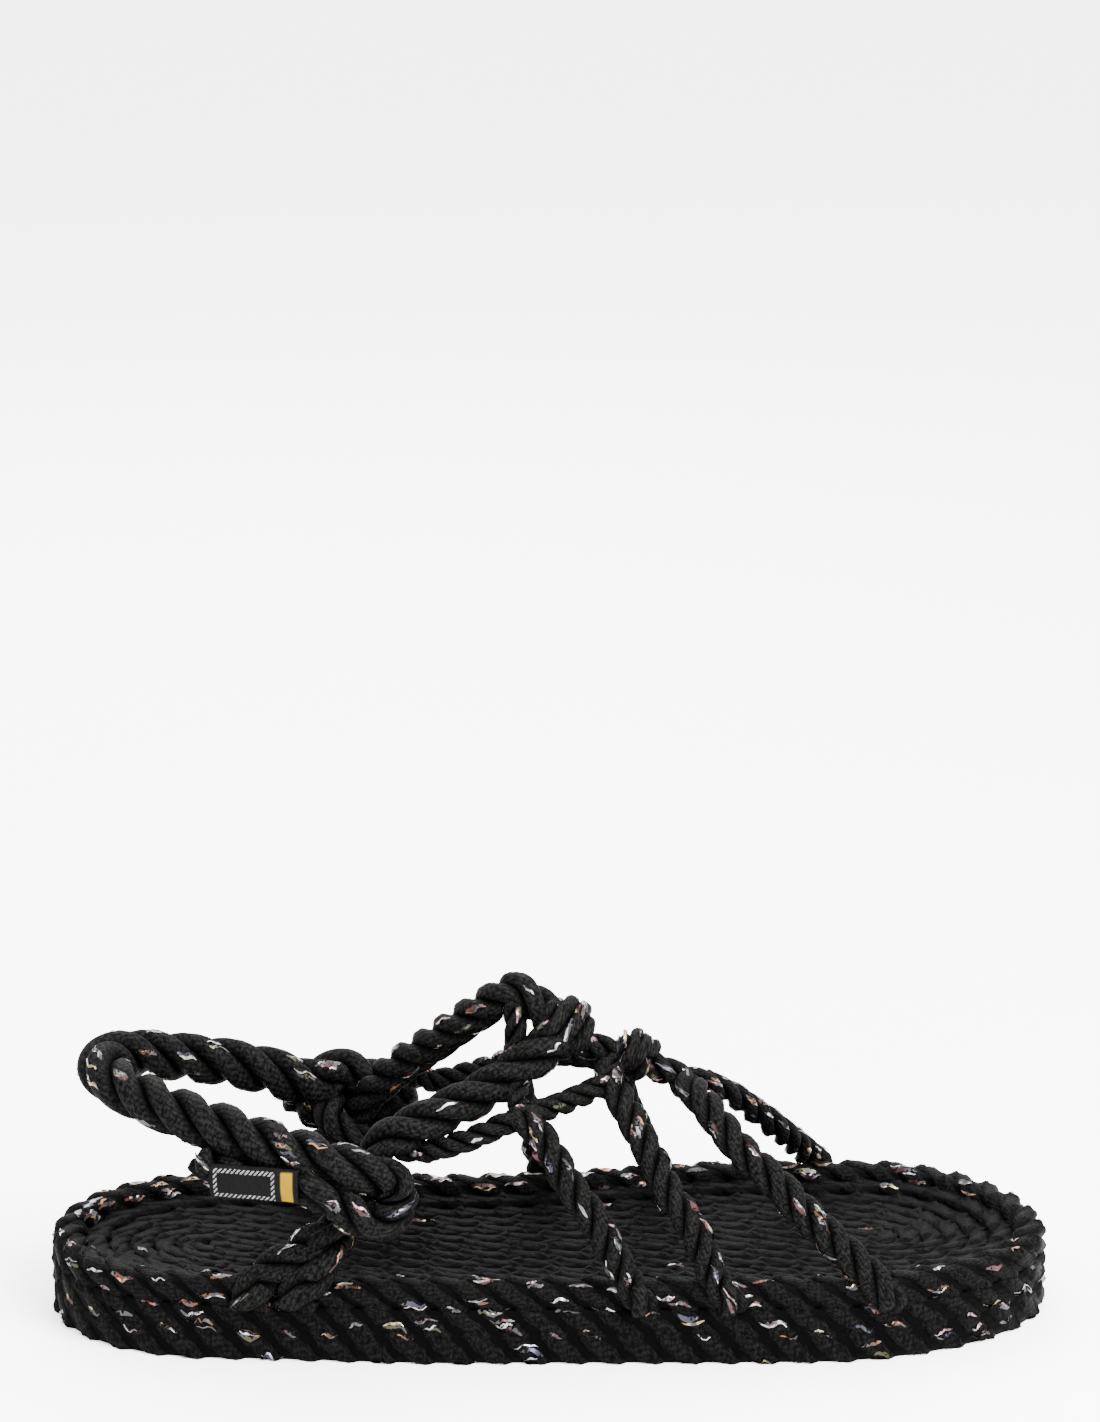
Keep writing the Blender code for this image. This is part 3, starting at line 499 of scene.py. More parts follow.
def rope_material(name, yarns, relief=0.00016, light=FIBRE_LIGHT, grooves=(0.55, 0.95)):
    """Black fibre, spun into yarns that show as fine lines along the rope, with the grooves between strands
    painted dark as shade.
    """
    material = bpy.data.materials.new(name)
    material.use_nodes = True
    tree = material.node_tree
    shader = tree.nodes["Principled BSDF"]
    start = Value(tree, None)
    along, around = map_axes(start, "yarn")
    crown, _ = map_axes(start, "wear_and_groove_shade")

    def fibres(along_scale, around_scale, detail):
        place = start.node("ShaderNodeCombineXYZ", None, {0: along * along_scale, 1: around * around_scale})
        return start.node("ShaderNodeTexNoise", None, {"Vector": place, "Scale": 1.0, "Detail": detail})

    soft = fibres(along_scale=380, around_scale=yarns * 0.6, detail=2.0)
    fine = fibres(along_scale=1500, around_scale=yarns * 2.2, detail=3.0)
    tuft = fibres(along_scale=900, around_scale=12.0, detail=3.0)
    line = (around * (2 * math.pi * yarns) + soft * 4.0).math("SINE") * 0.5 + 0.5
    height = line * 0.45 + fine * 0.8 + tuft * 0.9
    # The fibre's tone varies at random between dark and light. That tone shows on the strands' crowns, and
    # below the crown values in grooves the colour is painted down to the dark fibre, as painted shade between
    # the strands.
    crown_shade = mix(tuft.step(0.30, 0.66), FIBRE_DARK, light)
    colour = mix((fine * 1.3 + line * 0.3).step(0.45, 0.95) * crown.step(*grooves), FIBRE_DARK, crown_shade)
    tree.links.new(colour.socket, shader.inputs["Base Color"])
    shader.inputs["Roughness"].default_value = 0.62
    shader.inputs["Specular IOR Level"].default_value = 0.014
    normal = start.node("ShaderNodeBump", None, {"Height": height, "Distance": relief, "Strength": 1.0})
    tree.links.new(normal.socket, shader.inputs["Normal"])
    return material


# On the sole, the painted shade reaches further up each strand's side.
sole_fibre = rope_material("sole_fibre", yarns=16, grooves=(0.76, 0.97))

tinsel_foil = bpy.data.materials.new("tinsel_foil")
tinsel_foil.use_nodes = True
foil_tree = tinsel_foil.node_tree
foil_shader = foil_tree.nodes["Principled BSDF"]
foil = Value(foil_tree, None)
hue, length_on = map_axes(foil, "thread")
crinkle_place = foil.node("ShaderNodeCombineXYZ", None, {0: length_on * 3.0, 1: hue * 40.0})
crinkle = foil.node("ShaderNodeTexNoise", None, {"Vector": crinkle_place, "Scale": 1.0, "Detail": 2.0})
foil_colour = mix(crinkle.step(0.36, 0.60), (0.02, 0.02, 0.022, 1), ramp(hue, TINSEL))
foil_tree.links.new(foil_colour.socket, foil_shader.inputs["Base Color"])
foil_shader.inputs["Metallic"].default_value = 0.75
foil_shader.inputs["Roughness"].default_value = 0.34


PRESSED_SIDE = dict(
    closed=True, squareness=SIDE_SQUARENESS, flat=SOLE_RADIUS, tufts=SOLE_TUFTS,
    strand_shape=PRESSED_STRAND, heart=SIDE_HEART,
)
outsole_strands = Strands()
first_turn = edge_turn(OUTSOLE_MIDDLE)
outsole_strands.rope(first_turn, LOWEST_SIDE_RADIUS, SOLE_LAY, turn=OUTSOLE_TURN, **PRESSED_SIDE)
inner_turns = coil(SOLE_RADIUS + TURN_PITCH, OUTSOLE_TURNS - 1, TURN_PITCH, OUTSOLE_MIDDLE)
outsole_strands.rope(inner_turns, SOLE_RADIUS, SOLE_LAY, UP, step=0.0022, sides=8)
outsole = outsole_strands.piece("outsole_rope_coil", sole_fibre, floor=FLOOR_GAP)
outsole_tinsel = outsole_strands.tinsel("outsole_tinsel", tinsel_foil, floor=FLOOR_GAP)
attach(outsole, "root")
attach(outsole_tinsel, "root")
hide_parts("outsole_coil")

# The middle layer is a second coil of the same rope, sewn on the first. Only its outermost turn shows, and
# two of the hidden ones are drawn.
MIDDLE_MIDDLE = OUTSOLE_MIDDLE + ROW_PITCH
MIDDLE_HIDDEN_TURNS = 2
middle_strands = Strands()
middle_turn = edge_turn(MIDDLE_MIDDLE)
middle_strands.rope(middle_turn, SIDE_RADIUS, SOLE_LAY, turn=MIDDLE_TURN, **PRESSED_SIDE)
middle_inner = coil(SOLE_RADIUS + TURN_PITCH, MIDDLE_HIDDEN_TURNS, TURN_PITCH, MIDDLE_MIDDLE)
middle_strands.rope(middle_inner, SOLE_RADIUS, SOLE_LAY, UP, step=0.003, sides=6)
middle = middle_strands.piece("middle_rope_coil", sole_fibre)
middle_tinsel = middle_strands.tinsel("middle_tinsel", tinsel_foil)
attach(middle, "root")
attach(middle_tinsel, "root")
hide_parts("middle_coil")

# The rim is one more turn of the thick rope, sewn on the edge of the middle layer, and holds the foot in.
RIM_MIDDLE = MIDDLE_MIDDLE + ROW_PITCH
RIM_TOP = RIM_MIDDLE + SOLE_RADIUS
RIM_SQUARENESS = 3.6
RIM_HEART = 0.78
rim_strands = Strands()
rim_turn = edge_turn(RIM_MIDDLE)
rim_strands.rope(
    rim_turn, SOLE_RADIUS, SOLE_LAY, closed=True, tufts=SOLE_TUFTS,
    squareness=RIM_SQUARENESS, strand_shape=PRESSED_STRAND, heart=RIM_HEART,
)
rim = rim_strands.piece("rim_rope_strands", sole_fibre)
rim_tinsel = rim_strands.tinsel("rim_tinsel", tinsel_foil)
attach(rim, "root")
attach(rim_tinsel, "root")
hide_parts("rim_rope")

# The footbed is a thinner rope, coiled flat inside the rim, pressed smooth by the foot and dished: its
# outermost turns lie higher. There is hardly any tinsel in it.
FOOTBED_ROPE = 0.0066
FOOTBED_SINK = 0.0055
FOOTBED_TOP = RIM_TOP - FOOTBED_SINK
FOOTBED_LAY = 0.0340
FOOTBED_TURNS = 6
FOOTBED_EDGE_LIFT = 0.0024
FOOTBED_DISH = 0.014
FOOTBED_PRESS = 0.0003
FOOTBED_WIDE = 0.0074
FOOTBED_MIDDLE_REACH = 0.094
FOOTBED_MIDDLE_POINTS = 60
FOOTBED_TUCK = 0.0006
FOOTBED_PITCH = 0.97 * FOOTBED_ROPE
FOOTBED_TUFTS = 12
FOOTBED_LIGHT = (0.0016, 0.0016, 0.0016, 1)
footbed_fibre = rope_material("footbed_fibre", yarns=10, relief=0.00010, light=FOOTBED_LIGHT)
footbed_strands = Strands()
footbed_middle = FOOTBED_TOP - FOOTBED_ROPE / 2
first_inset = SOLE_ROPE + FOOTBED_ROPE / 2 - FOOTBED_TUCK
footbed_turns = coil(first_inset, FOOTBED_TURNS, FOOTBED_PITCH, footbed_middle)
turn_insets = SOLE_ROPE + FOOTBED_ROPE * (0.5 + np.arange(len(footbed_turns)) / OUTLINE_POINTS)
lift = FOOTBED_EDGE_LIFT * np.clip(1 - (turn_insets - SOLE_ROPE - FOOTBED_ROPE) / FOOTBED_DISH, 0, 1) ** 2
footbed_turns[:, 2] += lift + FOOTBED_PRESS
PRESSED_FOOTBED = dict(
    outward=UP, step=0.0018, sides=8, squareness=5.0, flat=FOOTBED_ROPE / 2,
    strand_shape=(0.52, 0.48, 0.72), heart=0.87,
)
footbed_strands.rope(footbed_turns, FOOTBED_WIDE / 2, FOOTBED_LAY, tufts=FOOTBED_TUFTS, **PRESSED_FOOTBED)
# One last straight length fills the slit in the middle of the coil.
middle_reach = np.linspace(-FOOTBED_MIDDLE_REACH, FOOTBED_MIDDLE_REACH, FOOTBED_MIDDLE_POINTS)
middle_share = middle_reach / SHOE_LENGTH + 0.5
middle_height = np.full(FOOTBED_MIDDLE_POINTS, footbed_middle)
middle_length = np.column_stack([middle_reach, middle_at(middle_share), middle_height])
footbed_strands.rope(middle_length, FOOTBED_WIDE / 2, FOOTBED_LAY, **PRESSED_FOOTBED)
footbed = footbed_strands.piece("footbed_rope_coil", footbed_fibre)
footbed_tinsel = footbed_strands.tinsel("footbed_tinsel", tinsel_foil)
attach(footbed, "root")
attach(footbed_tinsel, "root")
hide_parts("footbed")

# The fixed straps are the same three-strand rope. An ankle rope each side rises from the rim to the knots
# over the instep, and three front straps a side run from the knots down over the rim, sewn in under it.
INSTEP_RISE = 0.0729
FOOT_AXIS_HEIGHT = 0.025
SEAT_THICKNESS = 0.0052
FRONT_SEAT_LEAN = 0.016
ANCHOR_SEAT_LEAN = -0.016
# A rope's lay, as a share of its diameter. The inner front straps are laid more loosely.
STRAP_LAY = 2.65
INNER_FRONT_LAY_SHARE = 1.25
FRONT_FLATNESS = 0.80
ANCHOR_FLATNESS = 0.80
FRONT_TURN_APART = 1.9
ANKLE_TURN = 0.8
# A strap is pressed thin from this many rope diameters before its end, this steeply.
PRESS_PER_ROPE = 2.2
PRESS_STEEPNESS = 1.6
NECK_PER_EYE_ROPE = 1.3
ANCHOR_START_SHARE = 0.45
ANKLE_TUFTS = 300
ANCHOR_TUFTS = 260
TIE_TUFTS = 260
STRAP_MESH = dict(step=0.0009, sides=14)
OUTER_ANKLE_ROPE = 0.0120
INNER_ANKLE_ROPE = 0.0110
ANCHOR_ROPE = 0.0115
EYE_NECK = 0.0090
EYE_ROPE = 0.0102
SIDE_STRAND = 0.0068
LINK_ROPE = 0.0062
SPINE_ROPE = 0.0080
OUTER_ANCHOR_SEATS = (-0.252, -0.298)
INNER_ANCHOR_SEATS = (-0.250, -0.292)
# Routes. Columns: along, as a share of the length from its middle; out to the inner side, as a share of
# the sole's half width there; up, as a share of the instep's rise over the rim.
OUTER_ANKLE = (
    (0.018, -0.113, 0.830),
    (-0.006, -0.237, 0.770),
    (-0.046, -0.351, 0.672),
    (-0.087, -0.495, 0.610),
    (-0.127, -0.626, 0.560),
    (-0.166, -0.717, 0.490),
    (-0.191, -0.823, 0.340),
    (-0.212, -0.924, 0.195),
    (-0.228, -0.996, 0.085),
)
INNER_ANKLE = (
    (0.010, -0.088, 0.800),
    (-0.012, -0.060, 0.900),
    (-0.034, 0.002, 0.945),
    (-0.056, 0.073, 0.890),
    (-0.087, 0.186, 0.785),
    (-0.117, 0.326, 0.670),
    (-0.150, 0.471, 0.550),
    (-0.175, 0.589, 0.430),
    (-0.194, 0.681, 0.300),
    (-0.213, 0.800, 0.165),
    (-0.230, 0.915, 0.070),
)
OUTER_EYE_ROW = 6
INNER_EYE_ROW = 8
SPINE = (
    (0.004, -0.086, 0.800),
    (0.030, -0.085, 0.755),
    (0.060, -0.086, 0.715),
    (0.086, -0.085, 0.685),
    (0.112, -0.095, 0.640),
    (0.140, -0.094, 0.590),
)
OUTER_SIDE_STRAND = (
    (-0.160, -0.686, 0.505),
    (-0.138, -0.631, 0.450),
    (-0.090, -0.663, 0.490),
    (-0.033, -0.663, 0.585),
    (0.010, -0.480, 0.600),
    (0.056, -0.275, 0.640),
    (0.066, -0.120, 0.700),
)
INNER_SIDE_STRAND = (
    (-0.152, 0.493, 0.530),
    (-0.117, 0.661, 0.450),
    (-0.066, 0.631, 0.505),
    (-0.036, 0.545, 0.555),
    (0.010, 0.369, 0.610),
    (0.056, 0.129, 0.640),
    (0.066, -0.035, 0.700),
)
OUTER_LINK = (
    (-0.036, -0.042, 0.930),
    (-0.035, -0.109, 0.840),
    (-0.034, -0.198, 0.700),
    (-0.033, -0.597, 0.600),
)
INNER_LINK = (
    (-0.034, 0.024, 0.930),
    (-0.033, 0.090, 0.820),
    (-0.034, 0.268, 0.690),
    (-0.036, 0.512, 0.570),
)
# Each front strap has its side, its width, the place of its seat on the rim and its rows.
FRONT_STRAPS = (
    (-1, 0.0090, 0.088, (
        (-0.036, -0.630, 0.590),
        (-0.018, -0.741, 0.565),
        (0.001, -0.840, 0.468),
        (0.018, -0.915, 0.365),
        (0.042, -0.978, 0.242),
    )),
    (-1, 0.0088, 0.176, (
        (0.056, -0.158, 0.690),
        (0.060, -0.287, 0.640),
        (0.078, -0.502, 0.545),
        (0.098, -0.692, 0.430),
        (0.113, -0.827, 0.328),
        (0.136, -0.929, 0.214),
    )),
    (-1, 0.0096, 0.325, (
        (0.132, -0.122, 0.600),
        (0.148, -0.329, 0.575),
        (0.168, -0.484, 0.502),
        (0.190, -0.616, 0.422),
        (0.218, -0.726, 0.342),
        (0.250, -0.825, 0.228),
    )),
    (1, 0.0084, 0.010, (
        (-0.036, 0.479, 0.570),
        (-0.032, 0.643, 0.490),
        (-0.027, 0.796, 0.355),
        (-0.013, 0.920, 0.180),
    )),
    (1, 0.0082, 0.126, (
        (0.060, -0.011, 0.690),
        (0.070, 0.216, 0.560),
        (0.079, 0.484, 0.385),
        (0.096, 0.754, 0.190),
    )),
    (1, 0.0082, 0.290, (
        (0.132, -0.101, 0.600),
        (0.150, 0.015, 0.570),
        (0.180, 0.199, 0.475),
        (0.209, 0.404, 0.350),
        (0.238, 0.594, 0.220),
    )),
)
# A strap's last points over the rim. Columns: degrees over the horizontal, round the rim rope; how much of
# the strap's lean along the shoe is left; how far it has sunk in.
RIM_SEAT = (
    (54, 1.0, 0.0),
    (18, 0.4, 0.0),
    (-10, 0.0, 0.0006),
    (-34, -0.05, 0.0052),
)


def place(row):
    """A route's table row as a point."""
    along, out, up = row
    share = along + 0.5
    across = middle_at(share) + out * eased(share, 1) / 2
    return np.array([along * SHOE_LENGTH, across, RIM_TOP + up * INSTEP_RISE])


def curve_through(points):
    """Many points on a smooth curve through a few."""
    points = np.array(points)
    padded = np.vstack([2 * points[0] - points[1], points, 2 * points[-1] - points[-2]])
    fine = []
    for index in range(1, len(padded) - 2):
        before, start, end, after = padded[index - 1 : index + 3]
        for part in np.linspace(0, 1, 24, endpoint=False):
            curve = 2 * start + (end - before) * part
            curve = curve + (2 * before - 5 * start + 4 * end - after) * part**2
            curve = curve + (3 * start - before - 3 * end + after) * part**3
            fine.append(curve / 2)
    fine.append(points[-1])
    return np.array(fine)


def from_foot_axis(points):
    """Directions from the middle of the foot to points on a strap."""
    out = np.zeros_like(points)
    out[:, 1] = points[:, 1]
    out[:, 2] = points[:, 2] - FOOT_AXIS_HEIGHT
    return out


EDGE = outline(SOLE_RADIUS)
EDGE_ALONG = np.roll(EDGE, -1, axis=0) - np.roll(EDGE, 1, axis=0)
EDGE_NORMALS = np.stack([EDGE_ALONG[:, 1], -EDGE_ALONG[:, 0]], axis=1)
EDGE_NORMALS /= np.linalg.norm(EDGE_NORMALS, axis=1)[:, None]


def rim_seat(along, side, leaning):
    """The last points of a strap, over the rim's outer side and in under the rim."""
    reach = SOLE_RADIUS + SEAT_THICKNESS / 2
    on_side = EDGE[:, 1] * side > 0
    seat = []
    for degrees, lean, sink in RIM_SEAT:
        x = (along - leaning * lean) * SHOE_LENGTH
        index = np.argmin(np.where(on_side, abs(EDGE[:, 0] - x), 1.0))
        angle = math.radians(degrees)
        out = EDGE[index] + EDGE_NORMALS[index] * (reach - sink) * math.cos(angle)
        seat.append(np.array([out[0], out[1], RIM_MIDDLE + (reach - sink) * math.sin(angle)]))
    return seat


def length_of(points):
    """The length of a route."""
    return np.sum(np.linalg.norm(np.diff(np.array(points), axis=0), axis=1))


def pressed(half_thickness, length):
    """The half thickness of a strap, which is pressed thin where it lies over the rim."""

    def thickness_at(share):
        far = (1 - share) * length / (PRESS_PER_ROPE * SOLE_ROPE)
        part = np.clip(PRESS_STEEPNESS - far * PRESS_STEEPNESS, 0, 1)
        part = part * part * (3 - 2 * part)
        return half_thickness * (1 - part) + SEAT_THICKNESS / 2 * part

    return thickness_at


STRAP_LIGHT = (0.0060, 0.0059, 0.0057, 1)
strap_fibre = rope_material("strap_fibre", yarns=14, light=STRAP_LIGHT)
# The farthest strap is the richest in tinsel.
STRAP_TUFTS = (300, 380, 300, 300, 300, 900)
front_strands = Strands()
for number, (side, width, along, rows) in enumerate(FRONT_STRAPS):
    route = curve_through([place(row) for row in rows] + rim_seat(along, side, FRONT_SEAT_LEAN))
    flat = pressed(width / 2 * FRONT_FLATNESS, length_of(route))
    lay = STRAP_LAY * width * (INNER_FRONT_LAY_SHARE if side > 0 else 1.0)
    front_strands.rope(
        route, width / 2, lay, from_foot_axis, turn=number * FRONT_TURN_APART, flat=flat,
        tufts=STRAP_TUFTS[number], **STRAP_MESH,
    )
front_straps = front_strands.piece("front_strap_ropes", strap_fibre)
front_tinsel = front_strands.tinsel("front_strap_tinsel", tinsel_foil)
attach(front_straps, "root")
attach(front_tinsel, "root")
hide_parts("upper")


def ankle_rope(strands, rows, eye_row, side, diameter, seats):
    """An ankle rope from the knots down to the rim, with the second rope of its anchor beside it."""
    route = curve_through([place(row) for row in rows] + rim_seat(seats[0], side, ANCHOR_SEAT_LEAN))
    length = length_of(route)
    eye_share = length_of([place(row) for row in rows[: eye_row + 1]]) / length
    neck = EYE_ROPE * NECK_PER_EYE_ROPE / length
    press = pressed(diameter / 2, length)

    def radius_at(share):
        part = np.exp(-(((share - eye_share) / neck) ** 4))
        return diameter / 2 * (1 - part) + EYE_NECK / 2 * part

    def thickness_at(share):
        return np.minimum(radius_at(share), press(share))

    strands.rope(
        route, radius_at, STRAP_LAY * diameter, from_foot_axis, turn=side * ANKLE_TURN, flat=thickness_at,
        tufts=ANKLE_TUFTS, **STRAP_MESH,
    )
    start = place(rows[eye_row + 1])
    below = place(rows[eye_row + 2])
    rear = [start, (start + below) / 2 - np.array([EYE_NECK * ANCHOR_START_SHARE, 0, 0])]
    rear = curve_through(rear + rim_seat(seats[1], side, ANCHOR_SEAT_LEAN))
    press_rear = pressed(ANCHOR_ROPE / 2 * ANCHOR_FLATNESS, length_of(rear))
    strands.rope(
        rear, ANCHOR_ROPE / 2, STRAP_LAY * ANCHOR_ROPE, from_foot_axis, flat=press_rear,
        tufts=ANCHOR_TUFTS, **STRAP_MESH,
    )


ankle_strands = Strands()
ankle_rope(ankle_strands, OUTER_ANKLE, OUTER_EYE_ROW, -1, OUTER_ANKLE_ROPE, OUTER_ANCHOR_SEATS)
ankle_rope(ankle_strands, INNER_ANKLE, INNER_EYE_ROW, 1, INNER_ANKLE_ROPE, INNER_ANCHOR_SEATS)
ankle_ropes = ankle_strands.piece("ankle_ropes", strap_fibre)
ankle_tinsel = ankle_strands.tinsel("ankle_tinsel", tinsel_foil)
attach(ankle_ropes, "root")
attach(ankle_tinsel, "root")
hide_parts("upper")

# Thinner ropes tie the upper together: a strand along each side, a link from the instep down to each of
# them, and the spine that runs on under the knots.
tie_strands = Strands()
TIES = (
    (OUTER_SIDE_STRAND, SIDE_STRAND),
    (INNER_SIDE_STRAND, SIDE_STRAND),
    (OUTER_LINK, LINK_ROPE),
    (INNER_LINK, LINK_ROPE),
    (SPINE, SPINE_ROPE),
)
for number, (rows, width) in enumerate(TIES):
    route = curve_through([place(row) for row in rows])
    tie_strands.rope(
        route, width / 2, STRAP_LAY * width, from_foot_axis, step=0.0009, sides=12, turn=number,
        tufts=TIE_TUFTS,
    )
ties = tie_strands.piece("side_and_spine_ropes", strap_fibre)
tie_tinsel = tie_strands.tinsel("side_and_spine_tinsel", tinsel_foil)
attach(ties, "root")
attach(tie_tinsel, "root")
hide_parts("upper")

# Two knots hold the straps together over the instep. Each is a rope wound tight round the spine.
# Columns: along, out and up of the middle, half the length and the radius over the turns, and the turns.
KNOTS = (
    (0.014, -0.101, 0.820, 0.0084, 0.0092, 2.4),
    (0.085, -0.085, 0.700, 0.0068, 0.0074, 2.2),
)
KNOT_WRAP_SHARE = 1.18
KNOT_BULGE = 0.45
KNOT_POINTS = 120
KNOT_TUFTS = 420
knot_strands = Strands()
spine_way = place(SPINE[-1]) - place(SPINE[0])
spine_way /= np.linalg.norm(spine_way)
spine_side = np.cross(spine_way, UP)
spine_side /= np.linalg.norm(spine_side)
spine_over = np.cross(spine_side, spine_way)
for along, out, up, half_length, radius, turns in KNOTS:
    middle_point = place((along, out, up))
    wrap = half_length / turns * KNOT_WRAP_SHARE
    angle = np.linspace(0, 2 * math.pi * turns, KNOT_POINTS)[:, None]
    part = angle / angle[-1] * 2 - 1
    reach = (radius - wrap) * np.sqrt(1 - KNOT_BULGE * part**2)
    points = middle_point + spine_way * part * (half_length - wrap)
    points = points + reach * (spine_over * np.cos(angle) + spine_side * np.sin(angle))
    knot_strands.rope(
        points, wrap, STRAP_LAY * 2 * wrap, lambda at, centre=middle_point: at - centre,
        step=0.0007, sides=12, tufts=KNOT_TUFTS,
    )
knots = knot_strands.piece("instep_knots", strap_fibre)
knot_tinsel = knot_strands.tinsel("knot_tinsel", tinsel_foil)
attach(knots, "root")
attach(knot_tinsel, "root")
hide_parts("upper")

# The heel strap is the thickest rope. It runs round the back of the heel, and each end is bent into an
# eye that slides on an ankle rope, with its tail tucked back under the run and whipped there.
HEEL_ROPE = 0.0138
EYE_SWELL = 0.0114
EYE_BEND = 0.0062
KEEPER_ROPE = 0.0090
CLEARANCE = 0.0003
EYE_BEND_FORWARD = 0.65
HEEL_TUFTS = 400
# The keeper's way round the ankle rope, in degrees from outward, and where it ends: out, as a share of its
# own distance, and forward, as a share of the bend's radius.
KEEPER_ARC = range(45, 291, 15)
KEEPER_END = (0.95, -1.70)
HEEL_RUN = (
    (-0.248, -0.953, 0.500),
    (-0.297, -0.848, 0.532),
    (-0.348, -0.718, 0.576),
    (-0.391, -0.554, 0.608),
    (-0.432, -0.311, 0.640),
    (-0.446, -0.073, 0.658),
    (-0.429, 0.159, 0.650),
    (-0.384, 0.345, 0.604),
    (-0.333, 0.448, 0.560),
    (-0.283, 0.547, 0.500),
    (-0.240, 0.663, 0.430),
)
OUTER_TAIL = (
    (-0.249, -0.964, 0.400),
    (-0.283, -0.932, 0.398),
    (-0.325, -0.880, 0.405),
    (-0.345, -0.820, 0.470),
)
INNER_TAIL = ((-0.236, 0.777, 0.300), (-0.258, 0.654, 0.385))
EYE_UPPER_LEG = ((-1.40, 0.53),)
EYE_LOWER_LEG = ((-0.70, -0.90), (-1.80, -0.86))


def eye_frame(side):
    """The eye's middle on an ankle rope, its out, forward and up directions, and the ropes' distance."""
    rows, eye_row = (OUTER_ANKLE, OUTER_EYE_ROW) if side < 0 else (INNER_ANKLE, INNER_EYE_ROW)
    up = place(rows[eye_row - 1]) - place(rows[eye_row + 1])
    up /= np.linalg.norm(up)
    out = np.array([0.0, side, 0.0])
    out = out - up * np.dot(out, up)
    out /= np.linalg.norm(out)
    forward = np.cross(out, up) * side
    return place(rows[eye_row]), out, forward, up, (EYE_NECK + EYE_ROPE) / 2 + CLEARANCE


def eye_route(side):
    """The eye from its upper leg round the bend to its lower leg."""
    centre, out, forward, up, reach = eye_frame(side)
    rows = list(EYE_UPPER_LEG)
    for degrees in range(90, -91, -30):
        angle = math.radians(degrees)
        rows.append((EYE_BEND_FORWARD + math.cos(angle), math.sin(angle)))
    rows += EYE_LOWER_LEG
    return [centre + out * reach + EYE_BEND * (row[0] * forward + row[1] * up) for row in rows]


outer_end = [place(row) for row in OUTER_TAIL[::-1]] + eye_route(-1)[::-1]
inner_end = eye_route(1) + [place(row) for row in INNER_TAIL]
heel_points = outer_end + [place(row) for row in HEEL_RUN] + inner_end
heel_length = length_of(heel_points)
run_start = length_of(heel_points[: len(outer_end) + 1]) / heel_length
run_end = length_of(heel_points[: -len(inner_end)]) / heel_length
run_ease = HEEL_ROPE * 2 / heel_length


def heel_radius(share):
    """The heel rope's half width, which is less in the eyes."""
    into = np.clip(np.minimum(share - run_start + run_ease, run_end + run_ease - share) / run_ease, 0, 1)
    return (EYE_SWELL + (HEEL_ROPE - EYE_SWELL) * into * into * (3 - 2 * into)) / 2


heel_strands = Strands()
heel_strands.rope(
    curve_through(heel_points), heel_radius, STRAP_LAY * HEEL_ROPE, UP, step=0.0009, sides=16, turn=0.6,
    tufts=HEEL_TUFTS,
)
for side in (-1, 1):
    centre, out, forward, up, _ = eye_frame(side)
    reach = (EYE_NECK + KEEPER_ROPE) / 2 + CLEARANCE
    angles = np.radians(KEEPER_ARC)[:, None]
    ring = centre + reach * (out * np.cos(angles) + forward * np.sin(angles))
    inwards = centre + reach * KEEPER_END[0] * out + EYE_BEND * KEEPER_END[1] * forward
    heel_strands.rope(
        curve_through(np.vstack([ring, inwards])), KEEPER_ROPE / 2, STRAP_LAY * KEEPER_ROPE, up, step=0.0010
    )
heel_strap = heel_strands.piece("heel_strap_rope", strap_fibre)
heel_tinsel = heel_strands.tinsel("heel_strap_tinsel", tinsel_foil)
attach(heel_strap, "root")
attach(heel_tinsel, "root")
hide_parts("heel_strap")

# A plain woven tag is folded round the tail of the outer eye. Its black field has a pale stitched border
# and nothing else on it, and a mustard band is woven in at its front end.
LABEL_LENGTH = 0.0250
LABEL_HEIGHT = 0.0094
LABEL_THICKNESS = 0.0010
LABEL_BOW_RADIUS = 0.016
LABEL_ENDS = ((-0.328, -0.860, 0.400), (-0.238, -1.000, 0.410))
# Shares of the label's length: where the stitched field ends, and where the band begins and ends.
FIELD_END = 0.74
BAND = (0.81, 0.94)
WEAVE_THREADS = (62, 24)
STITCH_TURNS = (19, 6.5)
# How far the long edges curl in, from which share of the height, and how far back the tag's front lies.
EDGE_CURL = 0.0009
EDGE_CURL_START = 0.40
TAG_INSET = 0.0001
TAG_THICKNESS_SHARE = 0.8
label_cloth = bpy.data.materials.new("label_cloth")
label_cloth.use_nodes = True
cloth_tree = label_cloth.node_tree
cloth_shader = cloth_tree.nodes["Principled BSDF"]
cloth = Value(cloth_tree, None)
cloth_along, cloth_up = map_axes(cloth, "cloth")


def inside(value, low, high, soft=0.012):
    """1 where a value lies between two limits, with soft ends."""
    return value.step(low - soft, low + soft) * (1 - value.step(high - soft, high + soft))


weave_along = (cloth_along * 2 * math.pi * WEAVE_THREADS[0]).math("SINE")
weave = weave_along * (cloth_up * 2 * math.pi * WEAVE_THREADS[1]).math("SINE")
wear_and_groove_shade = cloth.node(
    "ShaderNodeTexNoise", None,
    {"Vector": cloth.node("ShaderNodeUVMap", {"uv_map": "cloth"}), "Scale": 46.0, "Detail": 3.0},
)
field = inside(cloth_along, 0.045, FIELD_END, 0.004) * inside(cloth_up, 0.07, 0.93, 0.01)
core = inside(cloth_along, 0.085, FIELD_END - 0.04, 0.004) * inside(cloth_up, 0.19, 0.81, 0.01)
stitch_turn = cloth_along * (2 * math.pi * STITCH_TURNS[0]) + cloth_up * (2 * math.pi * STITCH_TURNS[1])
stitch = (stitch_turn + wear_and_groove_shade * 3).math("SINE").step(-0.35, 0.25)
border = field * (1 - core) * stitch * wear_and_groove_shade.step(0.36, 0.52)
band = inside(cloth_along, *BAND) * inside(cloth_up, 0.06, 0.94, 0.03)
